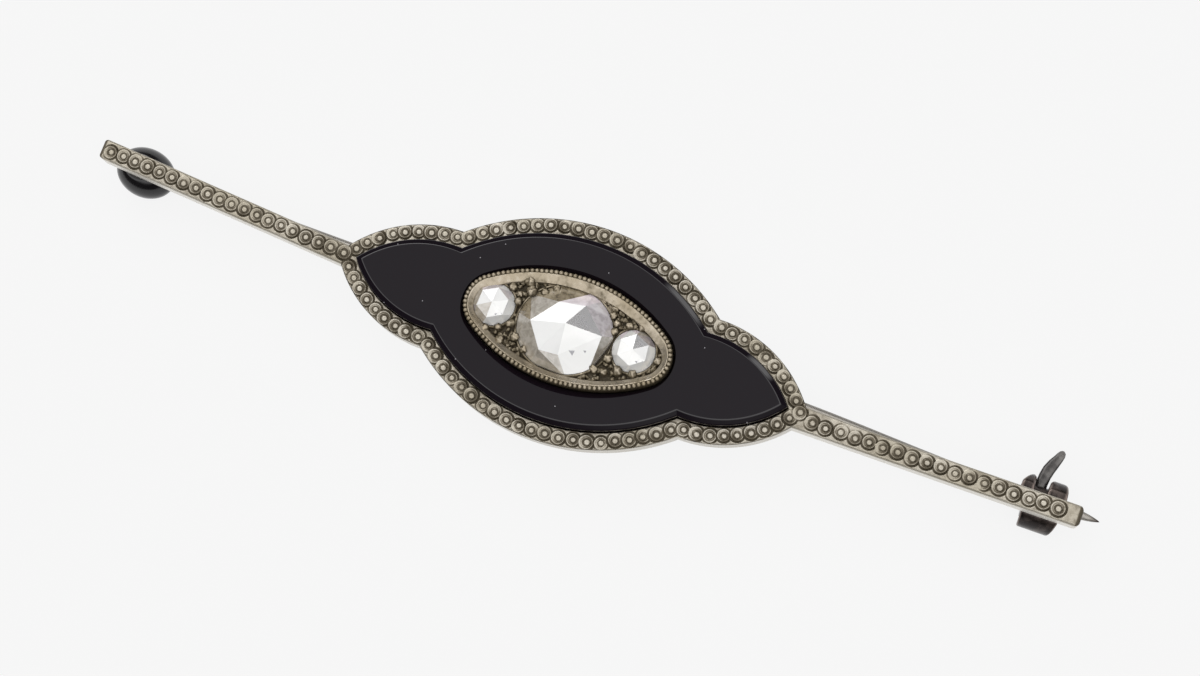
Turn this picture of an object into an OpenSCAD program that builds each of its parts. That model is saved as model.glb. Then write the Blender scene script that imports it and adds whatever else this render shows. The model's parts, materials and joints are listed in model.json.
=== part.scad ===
// Bar brooch: an onyx panel in a milled silver border, an oval setting of three
// rose-cut diamonds, two arms, a hinged pin and a roll-over catch.
// X runs along the bar, Y across it, Z up. Z = 0 is the surface that the brooch lies on.

/* [Panel] */
// Radius of the long arcs of the ring line
long_arc_r = 14.67; // [14.2:0.01:15.2]
// How far the long arcs' centres lie from the middle
long_arc_off = 7.21; // [6.9:0.01:7.5]
// Radius of the side lobes' arcs of the ring line
lobe_r = 8.85; // [8.6:0.01:9.2]
// Lobe arc centres, from the middle along X
lobe_x = 9.95; // [9.6:0.01:10.3]
// Lobe arc centres, from the middle along Y
lobe_y = 4.97; // [4.7:0.01:5.2]
// Width of the border outside the ring line
border_out = 0.57; // [0.5:0.01:0.8]
// Width of the border inside the ring line
border_in = 0.65; // [0.5:0.01:0.8]
// Height of the border
border_h = 1.5; // [1.2:0.1:2]
// Thickness of the back plate
back_t = 0.4; // [0.3:0.05:0.6]

/* [Milled rings] */
// Outer radius of one raised ring
ring_r = 0.47; // [0.4:0.01:0.48]
// Width of the raised ring
ring_w = 0.12; // [0.08:0.01:0.16]
// Height of the relief
relief_h = 0.12; // [0.08:0.01:0.2]
// Radius of the raised dot at its foot
dot_r = 0.23; // [0.18:0.01:0.26]
// Rings on each long arc
long_arc_rings = 21; // [15:1:21]
// Rings on each lobe arc
lobe_rings = 9; // [6:1:9]
// Rings on the left arm
left_rings = 20; // [12:1:20]
// Rings on the right arm
right_rings = 19; // [12:1:19]
// Distance of the left arm's last ring from the arm's end
left_plain = 0.86; // [0.5:0.01:1.5]
// Distance of the right arm's last ring from the arm's end
right_plain = 1.69; // [0.5:0.01:2]
// Distance of the left arm's first ring from the border's point
left_first = 0.3; // [0:0.01:0.4]
// Distance of the right arm's first ring from the border's point
right_first = 0.08; // [0:0.01:0.4]

/* [Arms] */
// Distance of each arm's end from the panel's middle
arm_reach = 37.8; // [36:0.1:39]
// Width of an arm
arm_w = 1.36; // [1.2:0.01:1.6]
// Radius of the corners at an arm's end
arm_end_r = 0.4; // [0.1:0.05:0.6]
// Sideways place of the left arm where it leaves the panel
left_root_y = 0.02; // [-0.4:0.01:0.4]
// Bend of the left arm
left_bend = 4.5; // [0:0.1:6]
// Sideways place of the right arm
right_root_y = -0.42; // [-0.5:0.01:0.4]

/* [Onyx] */
// Height of the onyx above the border
onyx_rise = 0.8; // [0.4:0.05:1.2]
// Width of the bevel in plan
bevel_w = 0.38; // [0.2:0.01:0.6]
// Height of the bevel
bevel_h = 0.3; // [0.2:0.01:0.7]

/* [Setting] */
// Half length of the oval rim
rim_a = 7.78; // [7.4:0.01:8.2]
// Half width of the oval rim
rim_b = 3.95; // [3.8:0.01:4.2]
// Height of the rim above the border
rim_rise = 1.22; // [1:0.01:1.6]
// Width of the flat top of the rim, which carries the millegrain
rim_w = 0.3; // [0.2:0.01:0.4]
// Width of the bright-cut slope inside the rim
slope_w = 0.32; // [0.2:0.01:0.45]
// Depth of the bed below the rim
bed_depth = 0.5; // [0.3:0.01:0.7]
// How high a grain stands above the bed, as a share of its radius
grain_stand = 0.15; // [0:0.05:0.4]

/* [Diamonds] */
// Length of the centre diamond
centre_l = 6.96; // [6.4:0.02:7]
// Width of the centre diamond
centre_w = 6.3; // [5.6:0.02:6.4]
// Height of the centre diamond's crown
centre_h = 1.3; // [1:0.05:1.8]
// Diameter of a side diamond
side_d = 3.08; // [2.6:0.02:3.1]
// Height of a side diamond's crown
side_h = 0.85; // [0.6:0.05:1.2]

/* [Pin] */
// How far the point passes the right arm's end
tip_past = 1.4; // [0.5:0.1:2]
// Radius of the stem
stem_r = 0.4; // [0.3:0.01:0.45]
// Radius of the stem inside the catch
stem_catch_r = 0.36; // [0.28:0.01:0.36]
// Sideways place of the stem at the hinge
stem_y_hinge = 1.41; // [0.9:0.01:1.5]
// Sideways place of the point
stem_y_tip = 0.14; // [0.1:0.01:0.4]

/* [Hinge] */
// Half width and half height of the egg-shaped knuckle
knuckle_r = 1.85; // [1.8:0.05:2.1]
// Half length of the knuckle
knuckle_a = 2.3; // [1.8:0.05:2.5]
// Turn of the knuckle's length from the bar
knuckle_turn = -8; // [-12:1:0]
// Distance of the hinge axis from the left arm's end
hinge_in = 2.8; // [2.5:0.1:5]
// Thickness of the pin's flat head
head_t = 0.9; // [0.85:0.05:1.1]
// Radius of the pin's flat head
head_r = 1.2; // [1:0.05:1.3]
// Radius of the rivet
rivet_r = 0.3; // [0.25:0.01:0.35]
// Height of the hinge's and the catch's axes above the flats that they stand on
axis_rise = 1.5; // [1.45:0.05:1.65]

/* [Catch] */
// Outer radius of the catch
catch_r = 1.9; // [1.7:0.01:1.95]
// Length of the catch along the bar
catch_l = 3; // [2.8:0.1:3.6]
// Distance of the catch's middle from the right arm's end
catch_in = 2.7; // [2.5:0.05:5]
// Sideways place of the catch
catch_y = -0.1; // [-0.2:0.01:0.1]
// Wall of the housing
catch_wall = 0.6; // [0.5:0.01:0.65]
// Wall of the turning collar
collar_wall = 0.4; // [0.3:0.01:0.42]
// Half width of the mouth
mouth = 0.78; // [0.76:0.01:0.85]
// Place of the lever's foot along the bar, from the catch's middle
lever_at = -0.41; // [-0.5:0.01:0.5]
// How far the lever reaches from the catch's axis
lever_reach = 4.1; // [3:0.05:4.5]
// Width of the lever at its foot
lever_w = 0.86; // [0.7:0.01:0.9]
// How far the lever turns to close
lever_turn = 150; // [90:5:160]

/* [Hidden] */
$fn = 96;
silver = "#c8beb0";
steel = "#4a4645";
onyx_black = "#17161a";
clear_white = "#e9ecef";

// clearances: between fixed metal, round a stone, between turning pieces; a cutter's overrun; relief's root
seat_gap = 0.03;
stone_gap = 0.05;
run_gap = 0.05;
over = 1;
sink = 0.03;
dot_taper = 0.6;

// heights, counted from the back face of the frame
axis_drop = 1.6;
foot_drop = axis_drop + axis_rise;
floor_z = back_t + seat_gap;
top_z = border_h;
face_z = top_z - relief_h;
rim_z = top_z + rim_rise;
bed_z = rim_z - bed_depth;
bed_t = 1;
stone_wall = 0.45;
seat_z = bed_z - stone_wall;
window_gap = 0.12;
panel_x = -tip_past / 2;

// the notch where a long arc meets a lobe, in the first quadrant
notch_d = norm([lobe_x, long_arc_off - lobe_y]);
notch_a = (pow(long_arc_r, 2) - pow(lobe_r, 2) + pow(notch_d, 2)) / (2 * notch_d);
notch_turn = atan2(long_arc_off - lobe_y, lobe_x) + acos(notch_a / long_arc_r);
notch = [long_arc_r * cos(notch_turn), long_arc_r * sin(notch_turn) - long_arc_off];
cusp = lobe_x + sqrt(pow(lobe_r, 2) - pow(lobe_y, 2));

// places along the bar, counted from the panel's middle
hinge_x = -arm_reach + hinge_in;
catch_x = arm_reach - catch_in;
tip_x = arm_reach + tip_past;
stem_l = norm([tip_x - hinge_x, stem_y_hinge - stem_y_tip]);
stem_turn = atan2(stem_y_tip - stem_y_hinge, tip_x - hinge_x);
arm_root_x = cusp - 0.3;

// the four-arc oval of the setting
oval_end_r = 2.21;
oval_end_x = rim_a - oval_end_r;
oval_side_off = (pow(oval_end_x, 2) - pow(rim_b, 2) + 2 * rim_b * oval_end_r - pow(oval_end_r, 2))
                / (2 * (rim_b - oval_end_r));
oval_side_r = rim_b + oval_side_off;
oval_split = atan2(oval_side_off, oval_end_x);
oval_steps = 12;

// sides of a stone's girdle, steps of an arm's corner and bands of the knuckle
girdle_n = 36;
corner_steps = 6;
knuckle_bands = 24;

// places of the stones in plan
centre_at = [-0.2, -0.05];
left_at = [-5.67, 0.03];
right_at = [4.95, 0.11];

// corners of the star facets and the point, as shares of a stone's half length and half width
centre_star = [[0.78, 0.1], [0.27, 0.61], [-0.26, 0.51], [-0.68, -0.08], [-0.32, -0.63], [0.48, -0.6]];
centre_point = [0.01, 0.1];
side_star_r = 0.6;
side_star = [for (i = [0 : 5]) side_star_r * [cos(60 * i + 8), sin(60 * i + 8)]];
side_point = [0, 0];

// grains beside the stones: x, y, radius
grains = [
  [-3.73, 2.42, 0.36], [-4.75, 1.64, 0.28], [-3.38, 1.79, 0.35], [-4.12, 1.33, 0.22], [-4.04, 0.77, 0.25],
  [-2.46, 2.05, 0.28], [-1.75, 2.55, 0.26], [-5.62, -1.83, 0.29], [-4.28, -2.28, 0.3], [-3.34, -1.71, 0.3],
  [-4.01, -0.92, 0.29], [-2.44, -2.34, 0.27], [-4.73, -1.46, 0.24], [2.75, 2.05, 0.25], [2.7, 2.55, 0.24],
  [3.17, 1.58, 0.24], [3.2, 0.98, 0.24], [4.06, 1.72, 0.25], [4.96, 1.84, 0.25], [3.43, -1, 0.29],
  [2.75, -2.05, 0.29], [3.48, -2.0, 0.26], [4.38, -1.62, 0.33], [5.43, -1.45, 0.29], [6.8, -0.02, 0.25]
];

module place() {
  translate([panel_x, 0, foot_drop]) children();
}

// points on an arc, both ends included
function arc(c, r, a0, a1, n) = [for (i = [0 : n]) c + r * [cos(a0 + (a1 - a0) * i / n),
                                                          sin(a0 + (a1 - a0) * i / n)]];

// the setting's oval, grown by g, anticlockwise with no point twice
function oval_right(g) = arc([oval_end_x, 0], oval_end_r + g, -oval_split, oval_split, oval_steps);
function oval_top(g) = arc([0, -oval_side_off], oval_side_r + g, oval_split, 180 - oval_split,
                           2 * oval_steps);
function inner(p) = [for (i = [1 : len(p) - 2]) p[i]];
function oval(g) = concat(oval_right(g), inner(oval_top(g)), -1 * oval_right(g), -1 * inner(oval_top(g)));

// a lens of the panel: two discs or cones that cross, with their middles at c and mirrored in Y
module lens(c, r1, r2, h) {
  intersection() {
    translate([c.x, -c.y, 0]) cylinder(h = h, r1 = r1, r2 = r2, $fn = 240);
    translate([c.x, c.y, 0]) cylinder(h = h, r1 = r1, r2 = r2, $fn = 240);
  }
}

// the panel's body of two long arcs and four lobe arcs, grown by g1 at its foot and g2 at its top
module panel(g1, g2, h) {
  lens([0, long_arc_off], long_arc_r + g1, long_arc_r + g2, h);
  lens([lobe_x, lobe_y], lobe_r + g1, lobe_r + g2, h);
  lens([-lobe_x, lobe_y], lobe_r + g1, lobe_r + g2, h);
}

// left arm's ring line at a distance from the panel's middle
function left_arm_y(x) = left_root_y + (-x - cusp) * tan(left_bend);

// an arm from its root to its rounded end, for side 1 or -1; the left one is drawn as the right one turned
// half round
function arm_outline(side, root_y, end_y) =
  let (corner_x = arm_reach - arm_end_r, corner_y = arm_w / 2 - arm_end_r)
  side * concat([[arm_root_x, side * root_y + arm_w / 2], [arm_root_x, side * root_y - arm_w / 2]],
                arc([corner_x, side * end_y - corner_y], arm_end_r, -90, 0, corner_steps),
                arc([corner_x, side * end_y + corner_y], arm_end_r, 0, 90, corner_steps));

module arms(h) {
  linear_extrude(h) polygon(arm_outline(-1, left_arm_y(-arm_root_x), left_arm_y(-arm_reach)));
  linear_extrude(h) polygon(arm_outline(1, right_root_y, right_root_y));
}

// one raised ring with its dot, sunk a little into the face that carries it
module ring_and_dot() {
  h = relief_h + sink;
  difference() {
    cylinder(h = h, r = ring_r, $fn = 32);
    translate([0, 0, -over]) cylinder(h = 2 * over, r = ring_r - ring_w, $fn = 32);
  }
  cylinder(h = h, r1 = dot_r, r2 = dot_r * dot_taper, $fn = 24);
}

// places of the rings along an arc of the border, which leaves parts of a step free at its start and its end
function rings_on_arc(c, r, a0, a1, n, first, last) = [for (i = [0 : n - 1])
  let (t = a0 + (a1 - a0) * (i + first) / (n - 1 + first + last)) c + r * [cos(t), sin(t)]];
notch_part = 0.5;
cusp_part = 0.85;
long_a0 = atan2(notch.y + long_arc_off, notch.x);
lobe_a0 = atan2(lobe_y, cusp - lobe_x);
lobe_a1 = atan2(notch.y + lobe_y, notch.x - lobe_x);
long_rings = rings_on_arc([0, -long_arc_off], long_arc_r, long_a0, 180 - long_a0, long_arc_rings,
                          notch_part, notch_part);
quarter_rings = rings_on_arc([lobe_x, -lobe_y], lobe_r, lobe_a0, lobe_a1, lobe_rings,
                             cusp_part, notch_part);
left_x = cusp + left_first;
right_x = cusp + right_first;
left_pitch = (arm_reach - left_plain - left_x) / (left_rings - 1);
right_pitch = (arm_reach - right_plain - right_x) / (right_rings - 1);
left_line = [for (i = [0 : left_rings - 1]) let (x = -left_x - i * left_pitch) [x, left_arm_y(x)]];
right_line = concat([[right_x, 0]],
                    [for (i = [1 : right_rings - 1]) [right_x + i * right_pitch, right_root_y]]);

module rings() {
  for (p = concat(long_rings, -1 * long_rings, quarter_rings, -1 * quarter_rings, left_line, right_line))
    translate([p.x, p.y, face_z - sink]) ring_and_dot();
  for (p = quarter_rings, s = [-1, 1])
    translate([-s * p.x, s * p.y, face_z - sink]) ring_and_dot();
}

// border, back plate, arms and relief, soldered into one
module frame() {
  color(silver) place() {
    difference() {
      union() {
        panel(border_out, border_out, face_z);
        arms(face_z);
      }
      translate([0, 0, back_t]) panel(-border_in, -border_in, border_h);
    }
    rings();
  }
}

// bevelled plaque with an oval window for the setting
module onyx_plaque() {
  fit = -border_in - stone_gap;
  shoulder_z = top_z + onyx_rise - bevel_h;
  color(onyx_black) place() difference() {
    union() {
      translate([0, 0, floor_z]) panel(fit, fit, shoulder_z - floor_z);
      translate([0, 0, shoulder_z]) panel(fit, fit - bevel_w, bevel_h);
    }
    translate([0, 0, -over]) linear_extrude(border_h + 2 * over + onyx_rise) polygon(oval(window_gap));
  }
}

// a solid between two outlines with the same number of points
module loft(low, z0, high, z1) {
  n = len(low);
  polyhedron(
    points = concat([for (p = low) [p.x, p.y, z0]], [for (p = high) [p.x, p.y, z1]]),
    faces = concat([[for (i = [0 : n - 1]) i]], [[for (i = [0 : n - 1]) 2 * n - 1 - i]],
                   [for (i = [0 : n - 1]) [i, n + i, n + (i + 1) % n, (i + 1) % n]])
  );
}

// outline of a stone
function girdle(l, w, n) = [for (i = [0 : n - 1]) let (t = 360 * i / n) [l / 2 * cos(t), w / 2 * sin(t)]];

// pocket for a stone, open upwards
module pocket(at, l, w) {
  translate([at.x, at.y, seat_z]) linear_extrude(2 * over)
    polygon(girdle(l + 2 * stone_gap, w + 2 * stone_gap, girdle_n));
}

// oval collet with its bed, bright-cut slope and grains
module centre_setting() {
  color(silver) place() difference() {
    union() {
      difference() {
        translate([0, 0, floor_z]) linear_extrude(rim_z - floor_z) polygon(oval(0));
        translate([0, 0, floor_z - over]) linear_extrude(bed_z - bed_t - floor_z + over)
          polygon(oval(-rim_w - slope_w));
        loft(oval(-rim_w - slope_w), bed_z, oval(-rim_w), rim_z + seat_gap);
      }
      for (g = grains) translate([g.x, g.y, bed_z + grain_stand * g.z]) sphere(r = g.z, $fn = 24);
    }
    pocket(centre_at, centre_l, centre_w);
    pocket(left_at, side_d, side_d);
    pocket(right_at, side_d, side_d);
  }
}

// the crown of a full rose cut: six star facets round the point and eighteen facets below them,
// with star holding the star facets' corners as shares of the half length and half width
module rose_crown(l, w, h, wall, star, point) {
  star_n = len(star);
  rim_n = 2 * star_n;
  star_rise = 0.74;
  rim = girdle(l, w, rim_n);
  pts = concat([for (p = rim) [p.x, p.y, 0]], [for (p = rim) [p.x, p.y, wall]],
               [for (p = star) [p.x * l / 2, p.y * w / 2, wall + star_rise * h]],
               [[point.x * l / 2, point.y * w / 2, wall + h]]);
  apex = 2 * rim_n + star_n;
  function low(i) = (i + rim_n) % rim_n;
  function up(i) = rim_n + low(i);
  function st(i) = 2 * rim_n + i % star_n;
  polyhedron(points = pts, faces = concat(
    [[for (i = [0 : rim_n - 1]) i]],
    [for (i = [0 : rim_n - 1]) [low(i), up(i), up(i + 1), low(i + 1)]],
    [for (i = [0 : star_n - 1]) [st(i), up(2 * i), up(2 * i - 1)]],
    [for (i = [0 : star_n - 1]) [st(i), up(2 * i + 1), up(2 * i)]],
    [for (i = [0 : star_n - 1]) [st(i), st(i + 1), up(2 * i + 1)]],
    [for (i = [0 : star_n - 1]) [apex, st(i + 1), st(i)]]
  ));
}

// rose-cut stone on a flat base, its facets running out in a scalloped edge above a rounded girdle
module rose_cut(l, w, h, star, point) {
  spread = 1.045;
  color(clear_white) intersection() {
    rose_crown(l * spread, w * spread, h, 0.8 * stone_wall, star, point);
    linear_extrude(stone_wall + h + over) polygon(girdle(l, w, girdle_n));
  }
}

module centre_diamond() {
  place() translate([centre_at.x, centre_at.y, seat_z + seat_gap])
    rose_cut(centre_l, centre_w, centre_h, centre_star, centre_point);
}

module left_diamond() {
  place() translate([left_at.x, left_at.y, seat_z + seat_gap]) rotate([0, 0, -20])
    rose_cut(side_d, side_d, side_h, side_star, side_point);
}

module right_diamond() {
  place() translate([right_at.x, right_at.y, seat_z + seat_gap]) rotate([0, 0, 15])
    rose_cut(side_d, side_d, side_h, side_star, side_point);
}

module at_hinge() {
  place() translate([hinge_x, stem_y_hinge, -axis_drop]) children();
}

module egg(a, r) {
  rotate([0, 90, 0]) rotate_extrude()
    polygon([for (p = arc([0, 0], 1, -90, 90, knuckle_bands)) [r * p.x, a * p.y]]);
}

// egg-shaped knuckle, flat where it is soldered and where it stands, slotted for the pin's head
module hinge_knuckle() {
  slot_w = head_t + 2 * run_gap;
  slot_top = head_r + 2 * run_gap;
  slot_side = 1.5 * stem_r;
  color(steel) at_hinge() difference() {
    intersection() {
      rotate([0, 0, knuckle_turn]) egg(knuckle_a, knuckle_r);
      translate([-knuckle_a, -knuckle_a, -axis_rise]) cube([2 * knuckle_a, 2 * knuckle_a,
                                                            foot_drop - seat_gap]);
    }
    rotate([90, 0, 0]) cylinder(h = slot_w, r = slot_top, center = true);
    translate([-slot_side, -slot_w / 2, -knuckle_r - over])
      cube([slot_side + knuckle_a + over, slot_w, slot_side + knuckle_r + over]);
    rotate([90, 0, 0]) cylinder(h = 2 * (knuckle_r + over), r = rivet_r + seat_gap, center = true);
  }
}

// rivet with its ends a little below the knuckle's face
module hinge_rivet() {
  rivet_short = 0.06;
  color(steel) at_hinge() rotate([90, 0, 0])
    cylinder(h = 2 * (knuckle_r - rivet_short), r = rivet_r, center = true);
}

// flat drilled head, a tapered neck that clears the knuckle, a straight stem and a sharp point
module pin_stem() {
  neck_l = knuckle_a + 0.45;
  neck_r = stem_r + 0.05;
  step_l = 0.6;
  main_end = catch_x - hinge_x - catch_l / 2 - 1.5 * step_l;
  point_l = 2.4;
  point_r = 0.03;
  color(silver) at_hinge() difference() {
    union() {
      rotate([90, 0, 0]) cylinder(h = head_t, r = head_r, center = true);
      rotate([0, 90, stem_turn]) {
        cylinder(h = stem_l - point_l, r = stem_catch_r);
        cylinder(h = neck_l, r1 = neck_r, r2 = stem_r);
        translate([0, 0, neck_l]) cylinder(h = main_end - neck_l, r = stem_r);
        translate([0, 0, main_end]) cylinder(h = step_l, r1 = stem_r, r2 = stem_catch_r);
        translate([0, 0, stem_l - point_l]) cylinder(h = point_l, r1 = stem_catch_r, r2 = point_r);
      }
    }
    rotate([90, 0, 0]) cylinder(h = head_t + over, r = rivet_r + run_gap, center = true);
  }
}

module at_catch() {
  place() translate([catch_x, catch_y, -axis_drop]) rotate([90, 0, 90]) children();
}

// wedge below the catch's axis, from angle a0 to a1 counted from +Y towards the floor
module wedge(a0, a1, r, l) {
  steps = 6;
  rim = [for (i = [0 : steps]) let (t = a0 + (a1 - a0) * i / steps) r * [cos(t), -sin(t)]];
  linear_extrude(l, center = true) polygon(concat([[0, 0]], rim));
}

// the straight way through which the stem leaves the catch
module mouth_cut(l) {
  translate([-mouth, -2 * catch_r, -l / 2]) cube([2 * mouth, 2 * catch_r, l]);
}

// C-shaped housing, flat where it stands, with a mouth for the stem and a slot for the lever
module catch_housing() {
  bore_r = catch_r - catch_wall;
  slot_l = lever_w + 2 * run_gap;
  lever_half = 16;
  color(steel) at_catch() difference() {
    intersection() {
      cylinder(h = catch_l, r = catch_r, center = true);
      translate([-catch_r, -axis_rise, -catch_l / 2]) cube([2 * catch_r, foot_drop - seat_gap, catch_l]);
    }
    cylinder(h = catch_l + over, r = bore_r, center = true);
    mouth_cut(catch_l + over);
    translate([0, 0, lever_at]) wedge(-lever_half, lever_turn + lever_half, 2 * catch_r, slot_l);
  }
}

// C-shaped collar that turns in the housing, with its tapered and slightly lifted lever
module catch_lever() {
  collar_r = catch_r - catch_wall - run_gap;
  root = collar_r - collar_wall / 4;
  knee = catch_r + 0.75;
  half_w = lever_w / 2;
  foot_t = 0.5;
  knee_t = 0.42;
  tip_t = 0.34;
  tip_r = 0.32;
  lean = 0.62;
  knee_lean = 0.16;
  lift = 0.25;
  end = lever_reach - tip_r;
  color(steel) at_catch() {
    difference() {
      cylinder(h = catch_l - 2 * run_gap, r = collar_r, center = true);
      cylinder(h = catch_l + over, r = collar_r - collar_wall, center = true);
      mouth_cut(catch_l + over);
    }
    translate([0, 0, lever_at]) intersection() {
      rotate([90, 0, 0]) linear_extrude(2 * catch_r, center = true) {
        polygon([[root, -half_w], [catch_r, -half_w], [knee, knee_lean - half_w], [end, lean - tip_r],
                 [end, lean + tip_r], [knee, knee_lean + half_w], [catch_r, half_w], [root, half_w]]);
        translate([end, lean]) circle(r = tip_r, $fn = 32);
      }
      linear_extrude(2 * catch_l, center = true)
        polygon([[root, -foot_t / 2], [knee, -knee_t / 2], [end, lift - tip_t / 2],
                 [lever_reach, lift - tip_t / 4], [lever_reach, lift + tip_t / 2],
                 [end, lift + tip_t / 2], [knee, knee_t / 2], [root, foot_t / 2]]);
    }
  }
}

frame();
onyx_plaque();
centre_setting();
centre_diamond();
left_diamond();
right_diamond();
hinge_knuckle();
hinge_rivet();
pin_stem();
catch_housing();
catch_lever();
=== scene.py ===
"""Looks of an onyx and diamond bar brooch, made round its packed construction.

Sizes are in millimetres, as a jeweller reads them, and turn into metres where a mesh is made. Outlines are
drawn in the panel's own plane: its middle is the origin, and heights count from the back of the frame.
"""

import json
import logging
import math
from dataclasses import dataclass, field
from enum import Enum
from typing import Any, Iterable, NamedTuple

import bmesh
import bpy
import numpy as np
from mathutils import Euler, Matrix, Vector, noise

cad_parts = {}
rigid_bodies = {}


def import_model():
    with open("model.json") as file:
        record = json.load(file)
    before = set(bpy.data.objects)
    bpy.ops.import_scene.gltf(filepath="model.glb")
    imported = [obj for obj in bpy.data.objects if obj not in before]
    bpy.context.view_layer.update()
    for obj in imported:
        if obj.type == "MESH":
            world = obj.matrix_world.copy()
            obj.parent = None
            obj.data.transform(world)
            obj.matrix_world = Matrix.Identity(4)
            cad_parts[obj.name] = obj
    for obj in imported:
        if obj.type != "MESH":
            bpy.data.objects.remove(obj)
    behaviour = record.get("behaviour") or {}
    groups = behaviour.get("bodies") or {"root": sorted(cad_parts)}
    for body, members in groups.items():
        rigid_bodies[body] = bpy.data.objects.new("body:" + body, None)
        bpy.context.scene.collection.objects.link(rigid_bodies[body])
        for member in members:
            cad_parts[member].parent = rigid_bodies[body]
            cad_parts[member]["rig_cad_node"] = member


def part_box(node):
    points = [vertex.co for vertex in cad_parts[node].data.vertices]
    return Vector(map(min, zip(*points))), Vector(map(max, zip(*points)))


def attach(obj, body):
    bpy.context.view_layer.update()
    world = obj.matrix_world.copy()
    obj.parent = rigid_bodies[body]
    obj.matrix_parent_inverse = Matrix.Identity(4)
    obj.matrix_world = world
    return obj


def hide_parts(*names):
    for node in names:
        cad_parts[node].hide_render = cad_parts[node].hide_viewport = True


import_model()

MM = 0.001
BODY = "brooch"
MOVING = {"catch_lever": "lever", "pin_stem": "pin"}
log = logging.getLogger("brooch")
Socket = bpy.types.NodeSocket


def to_linear(hex_colour: str) -> tuple[float, float, float, float]:
    """Turns an sRGB colour into Blender's linear one.

    Args:
        hex_colour: Six hex digits, with or without a leading hash.

    Returns:
        Red, green, blue and an alpha of 1, all linear.
    """
    digits = hex_colour.lstrip("#")
    shares = [int(digits[i:i + 2], 16) / 255 for i in (0, 2, 4)]
    linear = [s / 12.92 if s <= 0.04045 else ((s + 0.055) / 1.055) ** 2.4 for s in shares]
    return (*linear, 1.0)


def per_metre(size_mm: float) -> float:
    """Texture scale at which one feature of a pattern measures size_mm."""
    return 1 / (size_mm * MM)


def smooth(x: np.ndarray, low: float, high: float) -> np.ndarray:
    """Smooth step from 0 at low to 1 at high."""
    t = np.clip((x - low) / (high - low), 0, 1)
    return t * t * (3 - 2 * t)


def noise_at(points: np.ndarray, size_mm: float, seed: float) -> np.ndarray:
    """Smooth noise between about -1 and 1, with features of size_mm, at rows of x and y."""
    flat = points.reshape(-1, 2) / size_mm
    found = [noise.noise(Vector((x, y, seed))) for x, y in flat]
    return np.array(found).reshape(points.shape[:-1])


def ways(turns: np.ndarray) -> np.ndarray:
    """Rows of x and y that point in the directions of some angles."""
    return np.stack([np.cos(turns), np.sin(turns)], -1)


def full_turn(count: int) -> np.ndarray:
    """Angles of even steps once round, in radians."""
    return np.linspace(0, 2 * math.pi, count, endpoint=False)


def at_height(xy: np.ndarray, z: np.ndarray | float) -> np.ndarray:
    """Gives places in the plane their heights, or one height for all."""
    heights = np.asarray(z, float)[..., None]
    return np.concatenate([xy, np.broadcast_to(heights, (*xy.shape[:-1], 1))], -1)


class Bumps(NamedTuple):
    """Uneven handwork: how strong it is, the size of its features and the choice of its pattern."""

    strength: float
    size_mm: float
    seed: float

    def at(self, xy: np.ndarray) -> np.ndarray:
        """Their height at some places."""
        return self.strength * noise_at(xy, self.size_mm, self.seed)


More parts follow.
